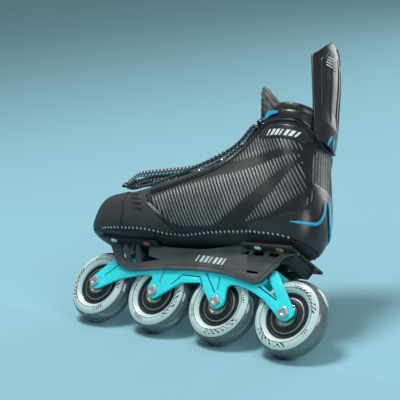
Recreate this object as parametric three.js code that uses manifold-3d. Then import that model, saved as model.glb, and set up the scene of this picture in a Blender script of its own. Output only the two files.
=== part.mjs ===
// Inline hockey skate with a split rocker chassis, left foot. Millimetres, +Z up.
// Toe towards -X, heel towards +X, lateral (outer) side towards -Y.
// The origin is on the floor, midway between the axles.
import * as THREE from 'three';
import { mergeVertices } from 'three/addons/utils/BufferGeometryUtils.js';
import Module from 'manifold-3d';

const wasm = await Module();
wasm.setup();

// Driving dimensions
const GAP = 0.3;
const WHEEL_R = 38;
const WHEEL_HALF = 12;
const TREAD_R = 11;
const HUB_R = 22;
const BEARING_R = 11;
const BEARING_WIDTH = 7;
const BEARING_OUT = 10.5;
const AXLE_R = 4;
const AXLE_PITCH = 80;
const WHEELS = 4;
const ROUND = 28;
const PLATE_IN = 13.5;
const PLATE_OUT = 16;
const PANEL_IN = 16.5;
const PANEL_OUT = 19.4;
const PIVOT_Z = 66;
const PIVOT_R = 4;
const RING_POINTS = 20;
const TOE_CENTRE = -108;
const TOE_RADIUS = 45.5;
const QUARTER_THICK = 2;
const LINER_THICK = 5.5;
const LACE_R = 2;
const LACE_ROWS = 6;
const TAIL_R = 1.6;

const axleX = (index) => (index - (WHEELS - 1) / 2) * AXLE_PITCH;

const finish = (color, roughness, metalness = 0) =>
  new THREE.MeshStandardMaterial({ color, roughness, metalness });
const CLEAR_URETHANE = finish(0xd8e2df, 0.35);
const BLACK_PLASTIC = finish(0x18191b, 0.45);
const BEARING_STEEL = finish(0x8f8a84, 0.3, 0.9);
const STEEL = finish(0xb9b6b2, 0.3, 0.9);
const TURQUOISE = finish(0x3fdfe6, 0.35, 0.4);
const GREY_COMPOSITE = finish(0x5c5a5b, 0.6);
const COPPER = finish(0xb5673a, 0.35, 0.9);
const RUBBER = finish(0x1c1d1f, 0.8);
const SHELL_BLACK = finish(0x2b2b2d, 0.35);
const GLOSS_BLACK = finish(0x161617, 0.2);
const MATTE_GREY = finish(0x3a3a3c, 0.6);
const FELT = finish(0x141415, 0.9);

// Booleans
function solid(geometry) {
  const bare = geometry.index ? geometry.toNonIndexed() : geometry.clone();
  bare.deleteAttribute('normal');
  bare.deleteAttribute('uv');
  const merged = mergeVertices(bare, 1e-3);
  return new wasm.Manifold(new wasm.Mesh({
    numProp: 3,
    vertProperties: new Float32Array(merged.attributes.position.array),
    triVerts: new Uint32Array(merged.index.array),
  }));
}

function geometryOf(body) {
  const found = body.getMesh();
  const geometry = new THREE.BufferGeometry();
  geometry.setAttribute('position', new THREE.BufferAttribute(found.vertProperties, 3));
  geometry.setIndex(new THREE.BufferAttribute(found.triVerts, 1));
  return geometry;
}

const joined = (bodies) => bodies.reduce((sum, body) => sum.add(body));
const less = (body, cutters) => cutters.reduce((rest, cutter) => rest.subtract(cutter), body);

// The largest piece of a cut body, without the slivers that a cut may leave
const largest = (body) =>
  body.decompose().reduce((best, piece) => (piece.volume() > best.volume() ? piece : best));

// Outlines in the XZ plane: each corner is [x, z] or [x, z, radius]
function outline(corners) {
  const shape = new THREE.Shape();
  corners.forEach(([x, z, radius = 0], index) => {
    const before = corners.at(index - 1);
    const after = corners[(index + 1) % corners.length];
    const corner = new THREE.Vector2(x, z);
    const back = new THREE.Vector2(before[0], before[1]).sub(corner);
    const on = new THREE.Vector2(after[0], after[1]).sub(corner);
    const reach = Math.min(radius, back.length() * 0.49, on.length() * 0.49);
    const start = back.normalize().multiplyScalar(reach).add(corner);
    const end = on.normalize().multiplyScalar(reach).add(corner);
    if (index === 0) shape.moveTo(start.x, start.y);
    else shape.lineTo(start.x, start.y);
    if (reach > 0) shape.quadraticCurveTo(x, z, end.x, end.y);
  });
  shape.closePath();
  return shape;
}

function prism(corners, low, high) {
  const settings = { depth: high - low, bevelEnabled: false, curveSegments: 2 };
  const geometry = new THREE.ExtrudeGeometry(outline(corners), settings);
  geometry.rotateX(Math.PI / 2);
  geometry.translate(0, high, 0);
  return solid(geometry);
}

const sided = (corners, near, far, side) =>
  prism(corners, Math.min(side * near, side * far), Math.max(side * near, side * far));

const block = (x, z, width, height, low, high) =>
  prism([[x - width / 2, z - height / 2], [x + width / 2, z - height / 2],
    [x + width / 2, z + height / 2], [x - width / 2, z + height / 2]], low, high);

function rod(radius, low, high, x, z, segments = 16) {
  const geometry = new THREE.CylinderGeometry(radius, radius, high - low, segments);
  geometry.translate(x, (low + high) / 2, z);
  return solid(geometry);
}

// A ring turned about the Y axis; the profile is a list of [radius, y]
function turned(profile, segments = ROUND) {
  const closed = [...profile, profile[0]].map(([radius, y]) => new THREE.Vector2(radius, y));
  return new THREE.LatheGeometry(closed, segments);
}

// Wheels
function tyreGeometry() {
  const profile = [[HUB_R + GAP, -8.5]];
  const steps = 6;
  for (let step = 0; step <= steps; step += 1) {
    const angle = -Math.PI / 2 + (Math.PI * step) / steps;
    profile.push([WHEEL_R - TREAD_R + TREAD_R * Math.cos(angle), WHEEL_HALF * Math.sin(angle)]);
  }
  profile.push([HUB_R + GAP, 8.5]);
  return turned(profile);
}

function hubGeometry() {
  const half = BEARING_OUT - BEARING_WIDTH - GAP;
  return turned([
    [BEARING_R + GAP, -BEARING_OUT], [15.6, -BEARING_OUT], [17, -8.2], [HUB_R, -8.2],
    [HUB_R, 8.2], [17, 8.2], [15.6, BEARING_OUT], [BEARING_R + GAP, BEARING_OUT],
    [BEARING_R + GAP, half], [9, half], [9, -half], [BEARING_R + GAP, -half],
  ], 24);
}

function bearingGeometry(side) {
  const inner = side * (BEARING_OUT - BEARING_WIDTH);
  const outer = side * BEARING_OUT;
  const low = Math.min(inner, outer);
  const high = Math.max(inner, outer);
  return turned([[AXLE_R + GAP, low], [BEARING_R, low], [BEARING_R, high], [AXLE_R + GAP, high]], 16);
}

function spacerGeometry() {
  const half = BEARING_OUT - BEARING_WIDTH - GAP;
  return turned([[AXLE_R + GAP, -half], [6, -half], [6, half], [AXLE_R + GAP, half]], 12);
}

// The head sits on the lateral plate, the thread ends in the medial plate.
function axleGeometry() {
  const seat = -PLATE_OUT - GAP;
  const profile = [[0, seat - 1.6], [5.6, seat - 1.6], [6.4, seat - 0.8], [6.4, seat],
    [AXLE_R, seat], [AXLE_R, PLATE_OUT + 0.4], [AXLE_R - 1, PLATE_OUT + 1.2], [0, PLATE_OUT + 1.2]];
  return new THREE.LatheGeometry(profile.map(([radius, y]) => new THREE.Vector2(radius, y)), 16);
}

// Lower frame: two milled side plates with forked arms, tied between the wheels
const plateOutline = [
  [-128.5, 39, 5], [-101.5, 68.5, 2], [-94, 63.5, 2], [-98.5, 57, 1], [-90, 59.5],
  [-76, 60], [-60, 61], [-38, 65.5], [-12, 68], [-8, 75.5, 6], [8, 75.5, 6], [12, 69.5],
  [45, 69.5], [66, 66], [84, 63], [94, 57.5], [106.5, 52.5, 1], [91.5, 69.5, 2], [98, 77.5, 2],
  [132.5, 39, 5], [122, 28.4, 8], [96, 46.5], [76, 54.5, 12], [60, 58, 10], [46.5, 56.5, 8],
  [51, 38, 5], [41, 28.4, 8], [29, 41], [15, 54.5, 3], [-9, 51.5, 3], [-29, 35.5],
  [-38.5, 28.4, 8], [-48.5, 39, 5], [-44, 54, 7], [-60, 53.8, 8], [-90, 44.5], [-118, 28.4, 8],
];
const bridgeOutline = (x) => [[x - 9, 69], [x - 9, 66.5], [x - 3, 58.5], [x + 3, 58.5],
  [x + 9, 66.5], [x + 9, 69]];

function lowerFrame() {
  const plates = [-1, 1].map((side) => sided(plateOutline, PLATE_IN, PLATE_OUT, side));
  const bridges = [-80, 80].map((x) => prism(bridgeOutline(x), -PLATE_IN - 1, PLATE_IN + 1));
  const ties = [block(94.5, 75.2, 6, 5, -PLATE_IN - 1, PLATE_IN + 1)];
  const bosses = [];
  const holes = [rod(PIVOT_R + GAP, -20, 20, 0, PIVOT_Z)];
  for (let index = 0; index < WHEELS; index += 1) {
    const x = axleX(index);
    bosses.push(rod(7, PLATE_IN - 1.6, PLATE_IN + 0.5, x, WHEEL_R));
    bosses.push(rod(7, -PLATE_IN - 0.5, -PLATE_IN + 1.6, x, WHEEL_R));
    holes.push(rod(AXLE_R + GAP, -20, 20, x, WHEEL_R));
  }
  return less(joined([...plates, ...bridges, ...ties, ...bosses]), holes);
}

// Upper chassis: two arched side panels on struts, mounting decks and a middle web
const panelOutline = [
  [-119, 84.5], [-95, 58.5, 2], [-88, 57, 2], [-75, 54.6, 8], [-40, 60.4], [-10, 64.2],
  [20, 66], [45, 65.4], [62, 62.4], [78, 59.8, 6], [86, 62.5, 3], [104, 90, 2],
  [117, 95], [116, 97], [60, 95], [48, 96.5, 3], [10, 87.5, 8], [-20, 85.5], [-56, 84],
];
const panelWindows = [
  [[-103, 83.5], [-88, 64.5, 2], [-84.5, 63], [-97, 83.5]],
  [[-91.5, 83.5], [-79, 62.8], [-71, 63.2], [-81, 83.5]],
  [[-75.5, 83.5], [-64.5, 65.2], [-41, 70.5, 1], [-58, 73, 1], [-62, 83.5]],
  [[52, 87.5], [62.5, 93], [62.5, 88]],
  [[67, 88.2], [67, 93.5], [80, 93.5], [80, 88.8]],
  [[85, 89], [85, 93.5], [98, 93.5], [96, 89.4]],
  [[66, 70, 0.8], [80, 70, 0.8], [80, 72.6, 0.8], [66, 72.6, 0.8]],
];
const FRONT_DECK = { from: -122, to: -46, low: [81.5, 83], high: [84.6, 86.2] };
const REAR_DECK = { from: 58, to: 116, low: [92.8, 95], high: [95.6, 98] };

function deck({ from, to, low, high }, half) {
  return prism([[from, low[0]], [to, low[1]], [to, high[1]], [from, high[0]]], -half, half);
}

// Rows of rivets are two to a side on each deck: [x, top of deck]
const rivetSpots = [[-104, 84.9], [-60, 85.9], [76, 96.4], [101, 97.4]];
const RIVET_Y = 26;

function upperChassis() {
  const windows = panelWindows.map((corners) => prism(corners, -30, 30));
  const panels = [-1, 1].map((side) => sided(panelOutline, PANEL_IN, PANEL_OUT, side));
  const sides = less(joined(panels), windows);
  const decks = [deck(FRONT_DECK, 31), deck(REAR_DECK, 31)];
  const web = prism([[-50, 79], [50, 79], [50, 82], [-50, 82]], -PANEL_IN - 1, PANEL_IN + 1);
  const lug = prism([[-8, 58.2, 7], [8, 58.2, 7], [8, 80], [-8, 80]], -PLATE_IN + 0.6, PLATE_IN - 0.6);
  const feet = [
    prism([[-89, 78.6], [-71, 78.6], [-71, 83], [-89, 83]], -11, 11),
    prism([[71, 78.6], [89, 78.6], [89, 94], [71, 94]], -11, 11),
    prism([[106, 84], [110, 84], [114, 95], [108, 95]], -PANEL_IN - 1, PANEL_IN + 1),
  ];
  const rear = [-1, 1].map((side) =>
    sided([[99, 84], [110, 84], [116, 96], [101, 96]], PANEL_IN, PANEL_OUT, side));
  const holes = [rod(PIVOT_R + GAP, -14, 14, 0, PIVOT_Z)];
  for (const [x] of rivetSpots) {
    for (const side of [-1, 1]) holes.push(rivetHole(x, side * RIVET_Y));
  }
  return less(joined([sides, ...decks, web, lug, ...feet, ...rear]), [...holes, form(1 + GAP)]);
}

function rivetHole(x, y) {
  const geometry = new THREE.CylinderGeometry(2.3, 2.3, 60, 12);
  geometry.rotateX(Math.PI / 2);
  geometry.translate(x, y, 90);
  return solid(geometry);
}

function rivetGeometry(underside, top) {
  const profile = [[0, underside - 2], [3, underside - 2], [4.4, underside - 0.4], [2, underside - 0.4],
    [2, top], [0, top]];
  const geometry = new THREE.LatheGeometry(profile.map(([r, y]) => new THREE.Vector2(r, y)), 8);
  geometry.rotateX(Math.PI / 2);
  return geometry;
}

// Boot form: each station joins a point on the crown line to one on the sole or heel line.
// top and base are [x, z]; half is half the width; wide is where the widest point lies.
const stations = [
  { top: [-146.5, 114], base: [-146.5, 96], half: 9, wide: 0.5, roundTop: 2, roundBase: 2.2 },
  { top: [-143, 123.5], base: [-143.5, 90], half: 21, wide: 0.46, roundTop: 2.2, roundBase: 2.8 },
  { top: [-137, 130.5], base: [-137.5, 87], half: 32, wide: 0.42, roundTop: 2.5, roundBase: 3.4 },
  { top: [-126.5, 134.5], base: [-126.5, 85.5], half: 40.5, wide: 0.42, roundTop: 2.6, roundBase: 3.6 },
  { top: [-110, 137.5], base: [-110, 85], half: 46, wide: 0.42, roundTop: 2.6, roundBase: 3.8 },
  { top: [-88, 143.5], base: [-88, 85], half: 48.5, wide: 0.42, roundTop: 2.4, roundBase: 3.8 },
  { top: [-60, 157], base: [-60, 86.5], half: 48, wide: 0.42, roundTop: 2.2, roundBase: 3.8 },
  { top: [-32, 171], base: [-32, 89], half: 45.5, wide: 0.42, roundTop: 2.2, roundBase: 3.6 },
  { top: [-10, 184], base: [-5, 91.5], half: 43, wide: 0.42, roundTop: 2.2, roundBase: 3.4 },
  { top: [3, 196], base: [30, 94.5], half: 41, wide: 0.44, roundTop: 2.2, roundBase: 3.2 },
  { top: [10, 207], base: [65, 96.5], half: 39, wide: 0.46, roundTop: 2.2, roundBase: 3 },
  { top: [13.5, 218], base: [98, 98], half: 37, wide: 0.48, roundTop: 2.2, roundBase: 2.7 },
  { top: [16, 226], base: [117, 106], half: 35.5, wide: 0.5, roundTop: 2.2, roundBase: 2.5 },
  { top: [18, 232], base: [122.5, 128], half: 35.5, wide: 0.5, roundTop: 2.2, roundBase: 2.3 },
  { top: [20, 238], base: [116, 154], half: 36, wide: 0.5, roundTop: 2.2, roundBase: 2.2 },
  { top: [21.5, 243], base: [106, 178], half: 36, wide: 0.5, roundTop: 2.2, roundBase: 2.2 },
  { top: [23, 248], base: [97, 204], half: 36.5, wide: 0.5, roundTop: 2.2, roundBase: 2.2 },
  { top: [25, 255], base: [91, 230], half: 38, wide: 0.5, roundTop: 2.2, roundBase: 2.2 },
  { top: [27, 262], base: [88, 250], half: 39, wide: 0.5, roundTop: 2.2, roundBase: 2.2 },
];

const mix = (a, b, share) => a + (b - a) * share;
const toeStretch = (x, offset) =>
  (x < TOE_CENTRE ? TOE_CENTRE + ((x - TOE_CENTRE) * (TOE_RADIUS + offset)) / TOE_RADIUS : x);

function stationAt(place) {
  const index = Math.min(Math.floor(place), stations.length - 2);
  const share = place - index;
  const [near, far] = [stations[index], stations[index + 1]];
  const blend = (key) => mix(near[key], far[key], share);
  return {
    top: [0, 1].map((axis) => mix(near.top[axis], far.top[axis], share)),
    base: [0, 1].map((axis) => mix(near.base[axis], far.base[axis], share)),
    half: blend('half'),
    wide: blend('wide'),
    roundTop: blend('roundTop'),
    roundBase: blend('roundBase'),
  };
}

// A station's section pushed out by offset: its base point, unit direction, height and half width
function section(station, offset) {
  const rise = [station.top[0] - station.base[0], station.top[1] - station.base[1]];
  const height = Math.hypot(...rise);
  const along = rise.map((part) => part / height);
  const base = station.base.map((part, axis) => part - offset * along[axis]);
  return { base, along, height: height + 2 * offset, half: station.half + offset };
}

function ringOf(station, offset) {
  const { base, along, height, half } = section(station, offset);
  const middle = height * station.wide;
  const points = [];
  for (let step = 0; step < RING_POINTS; step += 1) {
    const angle = (2 * Math.PI * step) / RING_POINTS;
    const up = Math.sin(angle) >= 0;
    const power = 2 / (up ? station.roundTop : station.roundBase);
    const y = half * Math.sign(Math.cos(angle)) * Math.abs(Math.cos(angle)) ** power;
    const reach = Math.abs(Math.sin(angle)) ** power;
    const level = up ? middle + (height - middle) * reach : middle - middle * reach;
    const x = base[0] + along[0] * level;
    points.push(new THREE.Vector3(toeStretch(x, offset), y, base[1] + along[1] * level));
  }
  return points;
}

// Triangles that fill a ring, each with its corners in the ring's own order
function filled(ring) {
  const quarter = Math.round(ring.length / 4);
  const across = ring[quarter].clone().sub(ring[ring.length - quarter]);
  const contour = ring.map((point) => new THREE.Vector2(point.y, point.dot(across)));
  return THREE.ShapeUtils.triangulateShape(contour, []).map((face) => face.sort((a, b) => a - b));
}

// A closed skin over rings of equal count, with both ends filled
function skin(rings) {
  const count = rings[0].length;
  const last = (rings.length - 1) * count;
  const faces = filled(rings[0]).flat();
  for (const [a, b, c] of filled(rings.at(-1))) faces.push(last + c, last + b, last + a);
  for (let step = 0; step < count; step += 1) {
    const next = (step + 1) % count;
    for (let ring = 0; ring < last; ring += count) {
      faces.push(ring + step, ring + count + step, ring + next);
      faces.push(ring + next, ring + count + step, ring + count + next);
    }
  }
  const geometry = new THREE.BufferGeometry().setFromPoints(rings.flat());
  geometry.setIndex(faces);
  const body = solid(geometry);
  return body.volume() > 0 ? body : solid(flipped(geometry));
}

function flipped(geometry) {
  const index = [...geometry.index.array];
  for (let at = 0; at < index.length; at += 3) [index[at], index[at + 1]] = [index[at + 1], index[at]];
  return geometry.clone().setIndex(index);
}

const forms = new Map();
function form(offset) {
  if (!forms.has(offset)) forms.set(offset, skin(stations.map((station) => ringOf(station, offset))));
  return forms.get(offset);
}
const layer = (inner, outer) => form(outer).subtract(form(inner));

// The point on the form over a given y, on the crown side
function onForm(place, y, offset) {
  const station = stationAt(place);
  const { base, along, height, half } = section(station, offset);
  const middle = height * station.wide;
  const share = Math.min(Math.abs(y) / half, 0.999) ** station.roundTop;
  const level = middle + (height - middle) * (1 - share) ** (1 / station.roundTop);
  return new THREE.Vector3(base[0] + along[0] * level, y, base[1] + along[1] * level);
}

// Regions of the boot, as walls through the whole width
const SEAM = [[-170, 94], [-20, 94], [30, 98], [80, 103], [140, 107]];
const CUFF = [[-170, 210], [-20, 214], [22, 217], [45, 223], [80, 222], [101, 208], [140, 206]];
const RIM = [[-170, 236], [0, 236], [20, 239], [52, 247], [82, 246], [96, 240], [140, 238]];
const lifted = (line, rise) => line.map(([x, z]) => [x, z + rise]);
const below = (line, rise = 0) => prism([...lifted(line, rise).reverse(), [-170, 20], [140, 20]], -70, 70);
const above = (line, rise = 0) => prism([...lifted(line, rise), [140, 380], [line[0][0], 380]], -70, 70);

function plan(corners, low, high) {
  const shape = new THREE.Shape(corners.map(([x, y]) => new THREE.Vector2(x, y)));
  const geometry = new THREE.ExtrudeGeometry(shape, { depth: high - low, bevelEnabled: false });
  geometry.translate(0, 0, low);
  return solid(geometry);
}

const THROAT = { front: -84, back: 40, narrow: 13, broad: 22 };
const throatHalf = (x) => mix(THROAT.narrow, THROAT.broad,
  (x - THROAT.front) / (THROAT.back - THROAT.front));
const throat = (grow = 0) => plan([
  [THROAT.front - grow / 2, -THROAT.narrow - grow], [THROAT.back, -THROAT.broad - grow],
  [THROAT.back, THROAT.broad + grow], [THROAT.front - grow / 2, THROAT.narrow + grow],
], 122, 300);

const TOE_CAP_END = [[-96, 60], [-92, 180]];
const VAMP_END = [[-64, 60], [-64, 200]];
const ahead = (line, move = 0) =>
  prism([[-200, 60], [line[0][0] + move, 60], [line[1][0] + move, 200], [-200, 200]], -70, 70);
const HEEL = [[66, 90], [72, 112, 4], [104, 121, 6], [109, 152, 4], [140, 160], [140, 90]];

const outsole = () => form(1).intersect(below(SEAM));
const insole = () => form(-QUARTER_THICK - LINER_THICK - 2 * GAP)
  .intersect(below(SEAM, 6.5)).intersect(above(SEAM, GAP)).subtract(ahead([[-136, 0], [-136, 0]]));
const toeCap = () => less(layer(-QUARTER_THICK, 1.4).intersect(ahead(TOE_CAP_END)), [below(SEAM, GAP)]);
const vamp = () => less(layer(-QUARTER_THICK, 0).intersect(ahead(VAMP_END)),
  [ahead(TOE_CAP_END, GAP), below(SEAM, GAP), throat()]);
const quarter = () => less(layer(-QUARTER_THICK, 0),
  [ahead(VAMP_END, GAP), below(SEAM, GAP), above(CUFF), throat()]);
const liner = () => less(layer(-QUARTER_THICK - GAP - LINER_THICK, -QUARTER_THICK - GAP),
  [ahead(VAMP_END, 2), below(SEAM, 1), above(CUFF), throat(9)]);
const collar = () => less(layer(-QUARTER_THICK - LINER_THICK, 1),
  [below(CUFF, GAP), above(RIM), throat(2)]);
const heelCounter = () => less(layer(GAP, 2), [below(SEAM, GAP)]).intersect(prism(HEEL, -70, 70));

function eyestay(side) {
  const half = plan([[-100, 0], [40, 0], [40, side * 60], [-100, side * 60]], 122, 300);
  const edge = plan([[-72, side * 5], [THROAT.back, side * (THROAT.broad + 1)],
    [THROAT.back, side * (THROAT.broad + 10)], [-72, side * (throatHalf(-72) + 9)]], 122, 300);
  return less(layer(GAP, 1.6).intersect(half).intersect(edge), [throat(0.5), above(CUFF, -2)]);
}

// Tongue: felt pad under the facings, and its padded top above the cuff
const TONGUE_BEND = [[-60, 236], [60, 236]];
function tonguePad() {
  const wide = plan([[-70, -17], [40, -29], [40, 29], [-70, 17]], 122, 300);
  return less(layer(-QUARTER_THICK - 5.3, -QUARTER_THICK - GAP).intersect(wide),
    [above(TONGUE_BEND), prism([[30, 100], [140, 100], [140, 300], [30, 300]], -70, 70)]);
}

function tongueTop() {
  const rows = [[236.3, 17.5, 2.6, 24], [246, 14.5, 4.5, 27], [258, 10, 5, 28], [270, 5, 4, 25], [277, 1.5, 2, 16]];
  return skin(rows.map(([z, x, thick, half]) => {
    const ring = [];
    for (let step = 0; step < 16; step += 1) {
      const angle = (2 * Math.PI * step) / 16;
      const y = half * Math.cos(angle);
      ring.push(new THREE.Vector3(x + thick * Math.sin(angle) + (y * y) / 90, y, z));
    }
    return ring;
  }));
}

// Tendon guard: a curved leaf standing on the back of the cuff; rows are [z, back x, half width]
const GUARD_BEND = [[40, 236], [140, 236]];
const guardRows = [[214, 100, 24], [236, 97, 24], [252, 91, 24], [285, 82, 26.5], [314, 72, 27],
  [325, 67, 14], [332.5, 63, 4]];
const GUARD_CURVE = 32;
function guardLeaf() {
  return skin(guardRows.map(([z, back, half]) => {
    const ring = [];
    const steps = 5;
    for (let step = -steps; step <= steps; step += 1) {
      const angle = (Math.asin(half / GUARD_CURVE) * step) / steps;
      ring.push([GUARD_CURVE, angle]);
    }
    for (let step = steps; step >= -steps; step -= 1) {
      const angle = (Math.asin(half / GUARD_CURVE) * step) / steps;
      ring.push([GUARD_CURVE - 4, angle]);
    }
    return ring.map(([radius, angle]) => new THREE.Vector3(
      back - GUARD_CURVE + radius * Math.cos(angle), radius * Math.sin(angle), z));
  }));
}
const guardBase = () => less(guardLeaf(), [form(1 + GAP), above(GUARD_BEND)]);
const guardTop = () => less(guardLeaf(), [form(1 + GAP), below(GUARD_BEND, GAP)]);

// Laces: one criss-cross body over the throat, a bow that lies forward, and two free tails
function crownPlaces(count) {
  const lengths = [0];
  for (let index = 6; index < 15; index += 1) {
    const [near, far] = [stations[index - 1].top, stations[index].top];
    lengths.push(lengths.at(-1) + Math.hypot(far[0] - near[0], far[1] - near[1]));
  }
  return Array.from({ length: count }, (_, row) => {
    const target = mix(8, lengths.at(-1) - 2, row / (count - 1));
    const index = lengths.findIndex((length) => length > target);
    return 4 + index + (target - lengths[index - 1]) / (lengths[index] - lengths[index - 1]);
  });
}

function tube(points, radius, steps, sides = 8) {
  const ring = new THREE.Shape();
  for (let side = 0; side < sides; side += 1) {
    const angle = (2 * Math.PI * side) / sides;
    const point = [radius * Math.cos(angle), radius * Math.sin(angle)];
    if (side === 0) ring.moveTo(...point);
    else ring.lineTo(...point);
  }
  ring.closePath();
  const extrudePath = new THREE.CatmullRomCurve3(points, false, 'centripetal');
  return solid(new THREE.ExtrudeGeometry(ring, { steps, extrudePath, bevelEnabled: false }));
}

function lacing() {
  const places = crownPlaces(LACE_ROWS);
  const eyelet = (row, side) => {
    const y = side * (throatHalf(stationAt(places[row]).top[0]) + 5);
    return onForm(places[row], y, 2.8 + LACE_R);
  };
  const strands = [];
  for (let row = 0; row < LACE_ROWS; row += 1) {
    const ends = [[eyelet(row, -1), eyelet(row, 1)]];
    if (row > 0) ends.push([eyelet(row - 1, -1), eyelet(row, 1)], [eyelet(row - 1, 1), eyelet(row, -1)]);
    for (const [start, end] of row === 0 ? ends : ends.slice(1)) {
      const crown = row === 0 ? onForm(places[0], 0, 4.5) : onForm((places[row] + places[row - 1]) / 2, 0, 4.5);
      strands.push(tube([start, crown, end], LACE_R, 4, 6));
    }
  }
  return joined(strands);
}

// The bow's loops hang forward over the lacing as one flat leaf; rows give its half width
const BOW_ROWS = [[11.4, 6], [10.9, 9], [10.4, 11], [9.6, 12], [8.2, 13], [7.2, 13], [6.2, 14]];
const BOW_TIP = [[-104, 168, 13], [-124, 164, 9], [-142, 157, 3]];
const BOW_RISE = 15;
const BOW_HALF_THICK = 2.6;

function laceBow() {
  const rows = BOW_ROWS.map(([place, half]) => ({ at: onForm(place, 0, BOW_RISE), half }));
  rows.push(...BOW_TIP.map(([x, z, half]) => ({ at: new THREE.Vector3(x, 0, z), half })));
  return skin(rows.map(({ at, half }, index) => {
    const ahead = rows[Math.min(index + 1, rows.length - 1)].at;
    const behind = rows[Math.max(index - 1, 0)].at;
    const run = ahead.clone().sub(behind).normalize();
    const up = new THREE.Vector3(run.z, 0, -run.x);
    return Array.from({ length: 12 }, (_, step) => {
      const angle = (2 * Math.PI * step) / 12;
      const rise = up.clone().multiplyScalar(BOW_HALF_THICK * Math.sin(angle));
      return at.clone().add(rise).add(new THREE.Vector3(0, half * Math.cos(angle), 0));
    });
  }));
}

// A free lace end: out of the knot, down beside the loops, and on over the toe
const TAIL_ROWS = [[11.3, 13, 12], [11, 15, 11.8], [10.5, 17, 11.6], [9.8, 18, 11.4], [8.8, 19, 11.2],
  [7.8, 19.5, 11], [6.8, 19.5, 10.8], [6, 19, 10.6], [5.3, 18, 10.6], [4.6, 17, 11], [3.9, 16, 11.5]];
const AGLET_LENGTH = 22;

function tailRoute(side) {
  return TAIL_ROWS.map(([place, y, rise]) => onForm(place, side * y, rise));
}
const laceTail = (side) => tube(tailRoute(side), TAIL_R, 20, 8);

function aglet(side) {
  const route = tailRoute(side);
  const run = route.at(-1).clone().sub(route.at(-2)).setZ(0).normalize();
  const start = route.at(-1).clone().addScaledVector(run, 2 * GAP);
  return tube([start, start.clone().addScaledVector(run, AGLET_LENGTH)], TAIL_R, 1, 8);
}

// Assembly
const skate = new THREE.Group();

function add(name, geometry, material, position = [0, 0, 0]) {
  const mesh = new THREE.Mesh(geometry, material);
  mesh.name = name;
  mesh.position.set(...position);
  skate.add(mesh);
  return mesh;
}
const addSolid = (name, body, material) => add(name, geometryOf(largest(body)), material);

for (let index = 0; index < WHEELS; index += 1) {
  const at = [axleX(index), 0, WHEEL_R];
  const number = index + 1;
  add(`tyre_${number}`, tyreGeometry(), CLEAR_URETHANE, at);
  add(`hub_${number}`, hubGeometry(), BLACK_PLASTIC, at);
  add(`bearing_lateral_${number}`, bearingGeometry(-1), BEARING_STEEL, at);
  add(`bearing_medial_${number}`, bearingGeometry(1), BEARING_STEEL, at);
  add(`bearing_spacer_${number}`, spacerGeometry(), STEEL, at);
  add(`axle_${number}`, axleGeometry(), STEEL, at);
}

addSolid('lower_frame', lowerFrame(), TURQUOISE);
addSolid('upper_chassis', upperChassis(), GREY_COMPOSITE);
addSolid('rocker_pin', rod(PIVOT_R, -PLATE_OUT, PLATE_OUT, 0, PIVOT_Z), STEEL);
addSolid('front_damper', block(-80, (69 + 78.6) / 2, 15, 78.6 - 69 - 2 * GAP, -9, 9), RUBBER);
addSolid('rear_damper', block(80, (69 + 78.6) / 2, 15, 78.6 - 69 - 2 * GAP, -9, 9), RUBBER);

rivetSpots.forEach(([x, top], index) => {
  const end = index < 2 ? 'front' : 'rear';
  for (const [side, word] of [[-1, 'lateral'], [1, 'medial']]) {
    const name = `rivet_${end}_${word}_${(index % 2) + 1}`;
    add(name, rivetGeometry(-3.2, -0.4), COPPER, [x, side * RIVET_Y, top]);
  }
});

addSolid('outsole', outsole(), BLACK_PLASTIC);
addSolid('insole', insole(), FELT);
addSolid('toe_cap', toeCap(), MATTE_GREY);
addSolid('vamp', vamp(), MATTE_GREY);
addSolid('quarter', quarter(), SHELL_BLACK);
addSolid('liner', liner(), FELT);
addSolid('collar', collar(), GLOSS_BLACK);
addSolid('heel_counter', heelCounter(), GLOSS_BLACK);
addSolid('eyestay_lateral', eyestay(-1), GLOSS_BLACK);
addSolid('eyestay_medial', eyestay(1), GLOSS_BLACK);
addSolid('tongue', tonguePad(), FELT);
addSolid('tongue_top', tongueTop(), FELT);
addSolid('guard_base', guardBase(), GLOSS_BLACK);
addSolid('tendon_guard', guardTop(), GLOSS_BLACK);
addSolid('lace', lacing(), FELT);
addSolid('lace_bow', laceBow(), FELT);
for (const [side, word] of [[-1, 'lateral'], [1, 'medial']]) {
  addSolid(`lace_tail_${word}`, laceTail(side), FELT);
  addSolid(`aglet_${word}`, aglet(side), BLACK_PLASTIC);
}

export default skate;
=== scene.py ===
import math

import bmesh
import bpy
import numpy as np
from mathutils import Matrix, Vector
from mathutils.bvhtree import BVHTree


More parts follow.
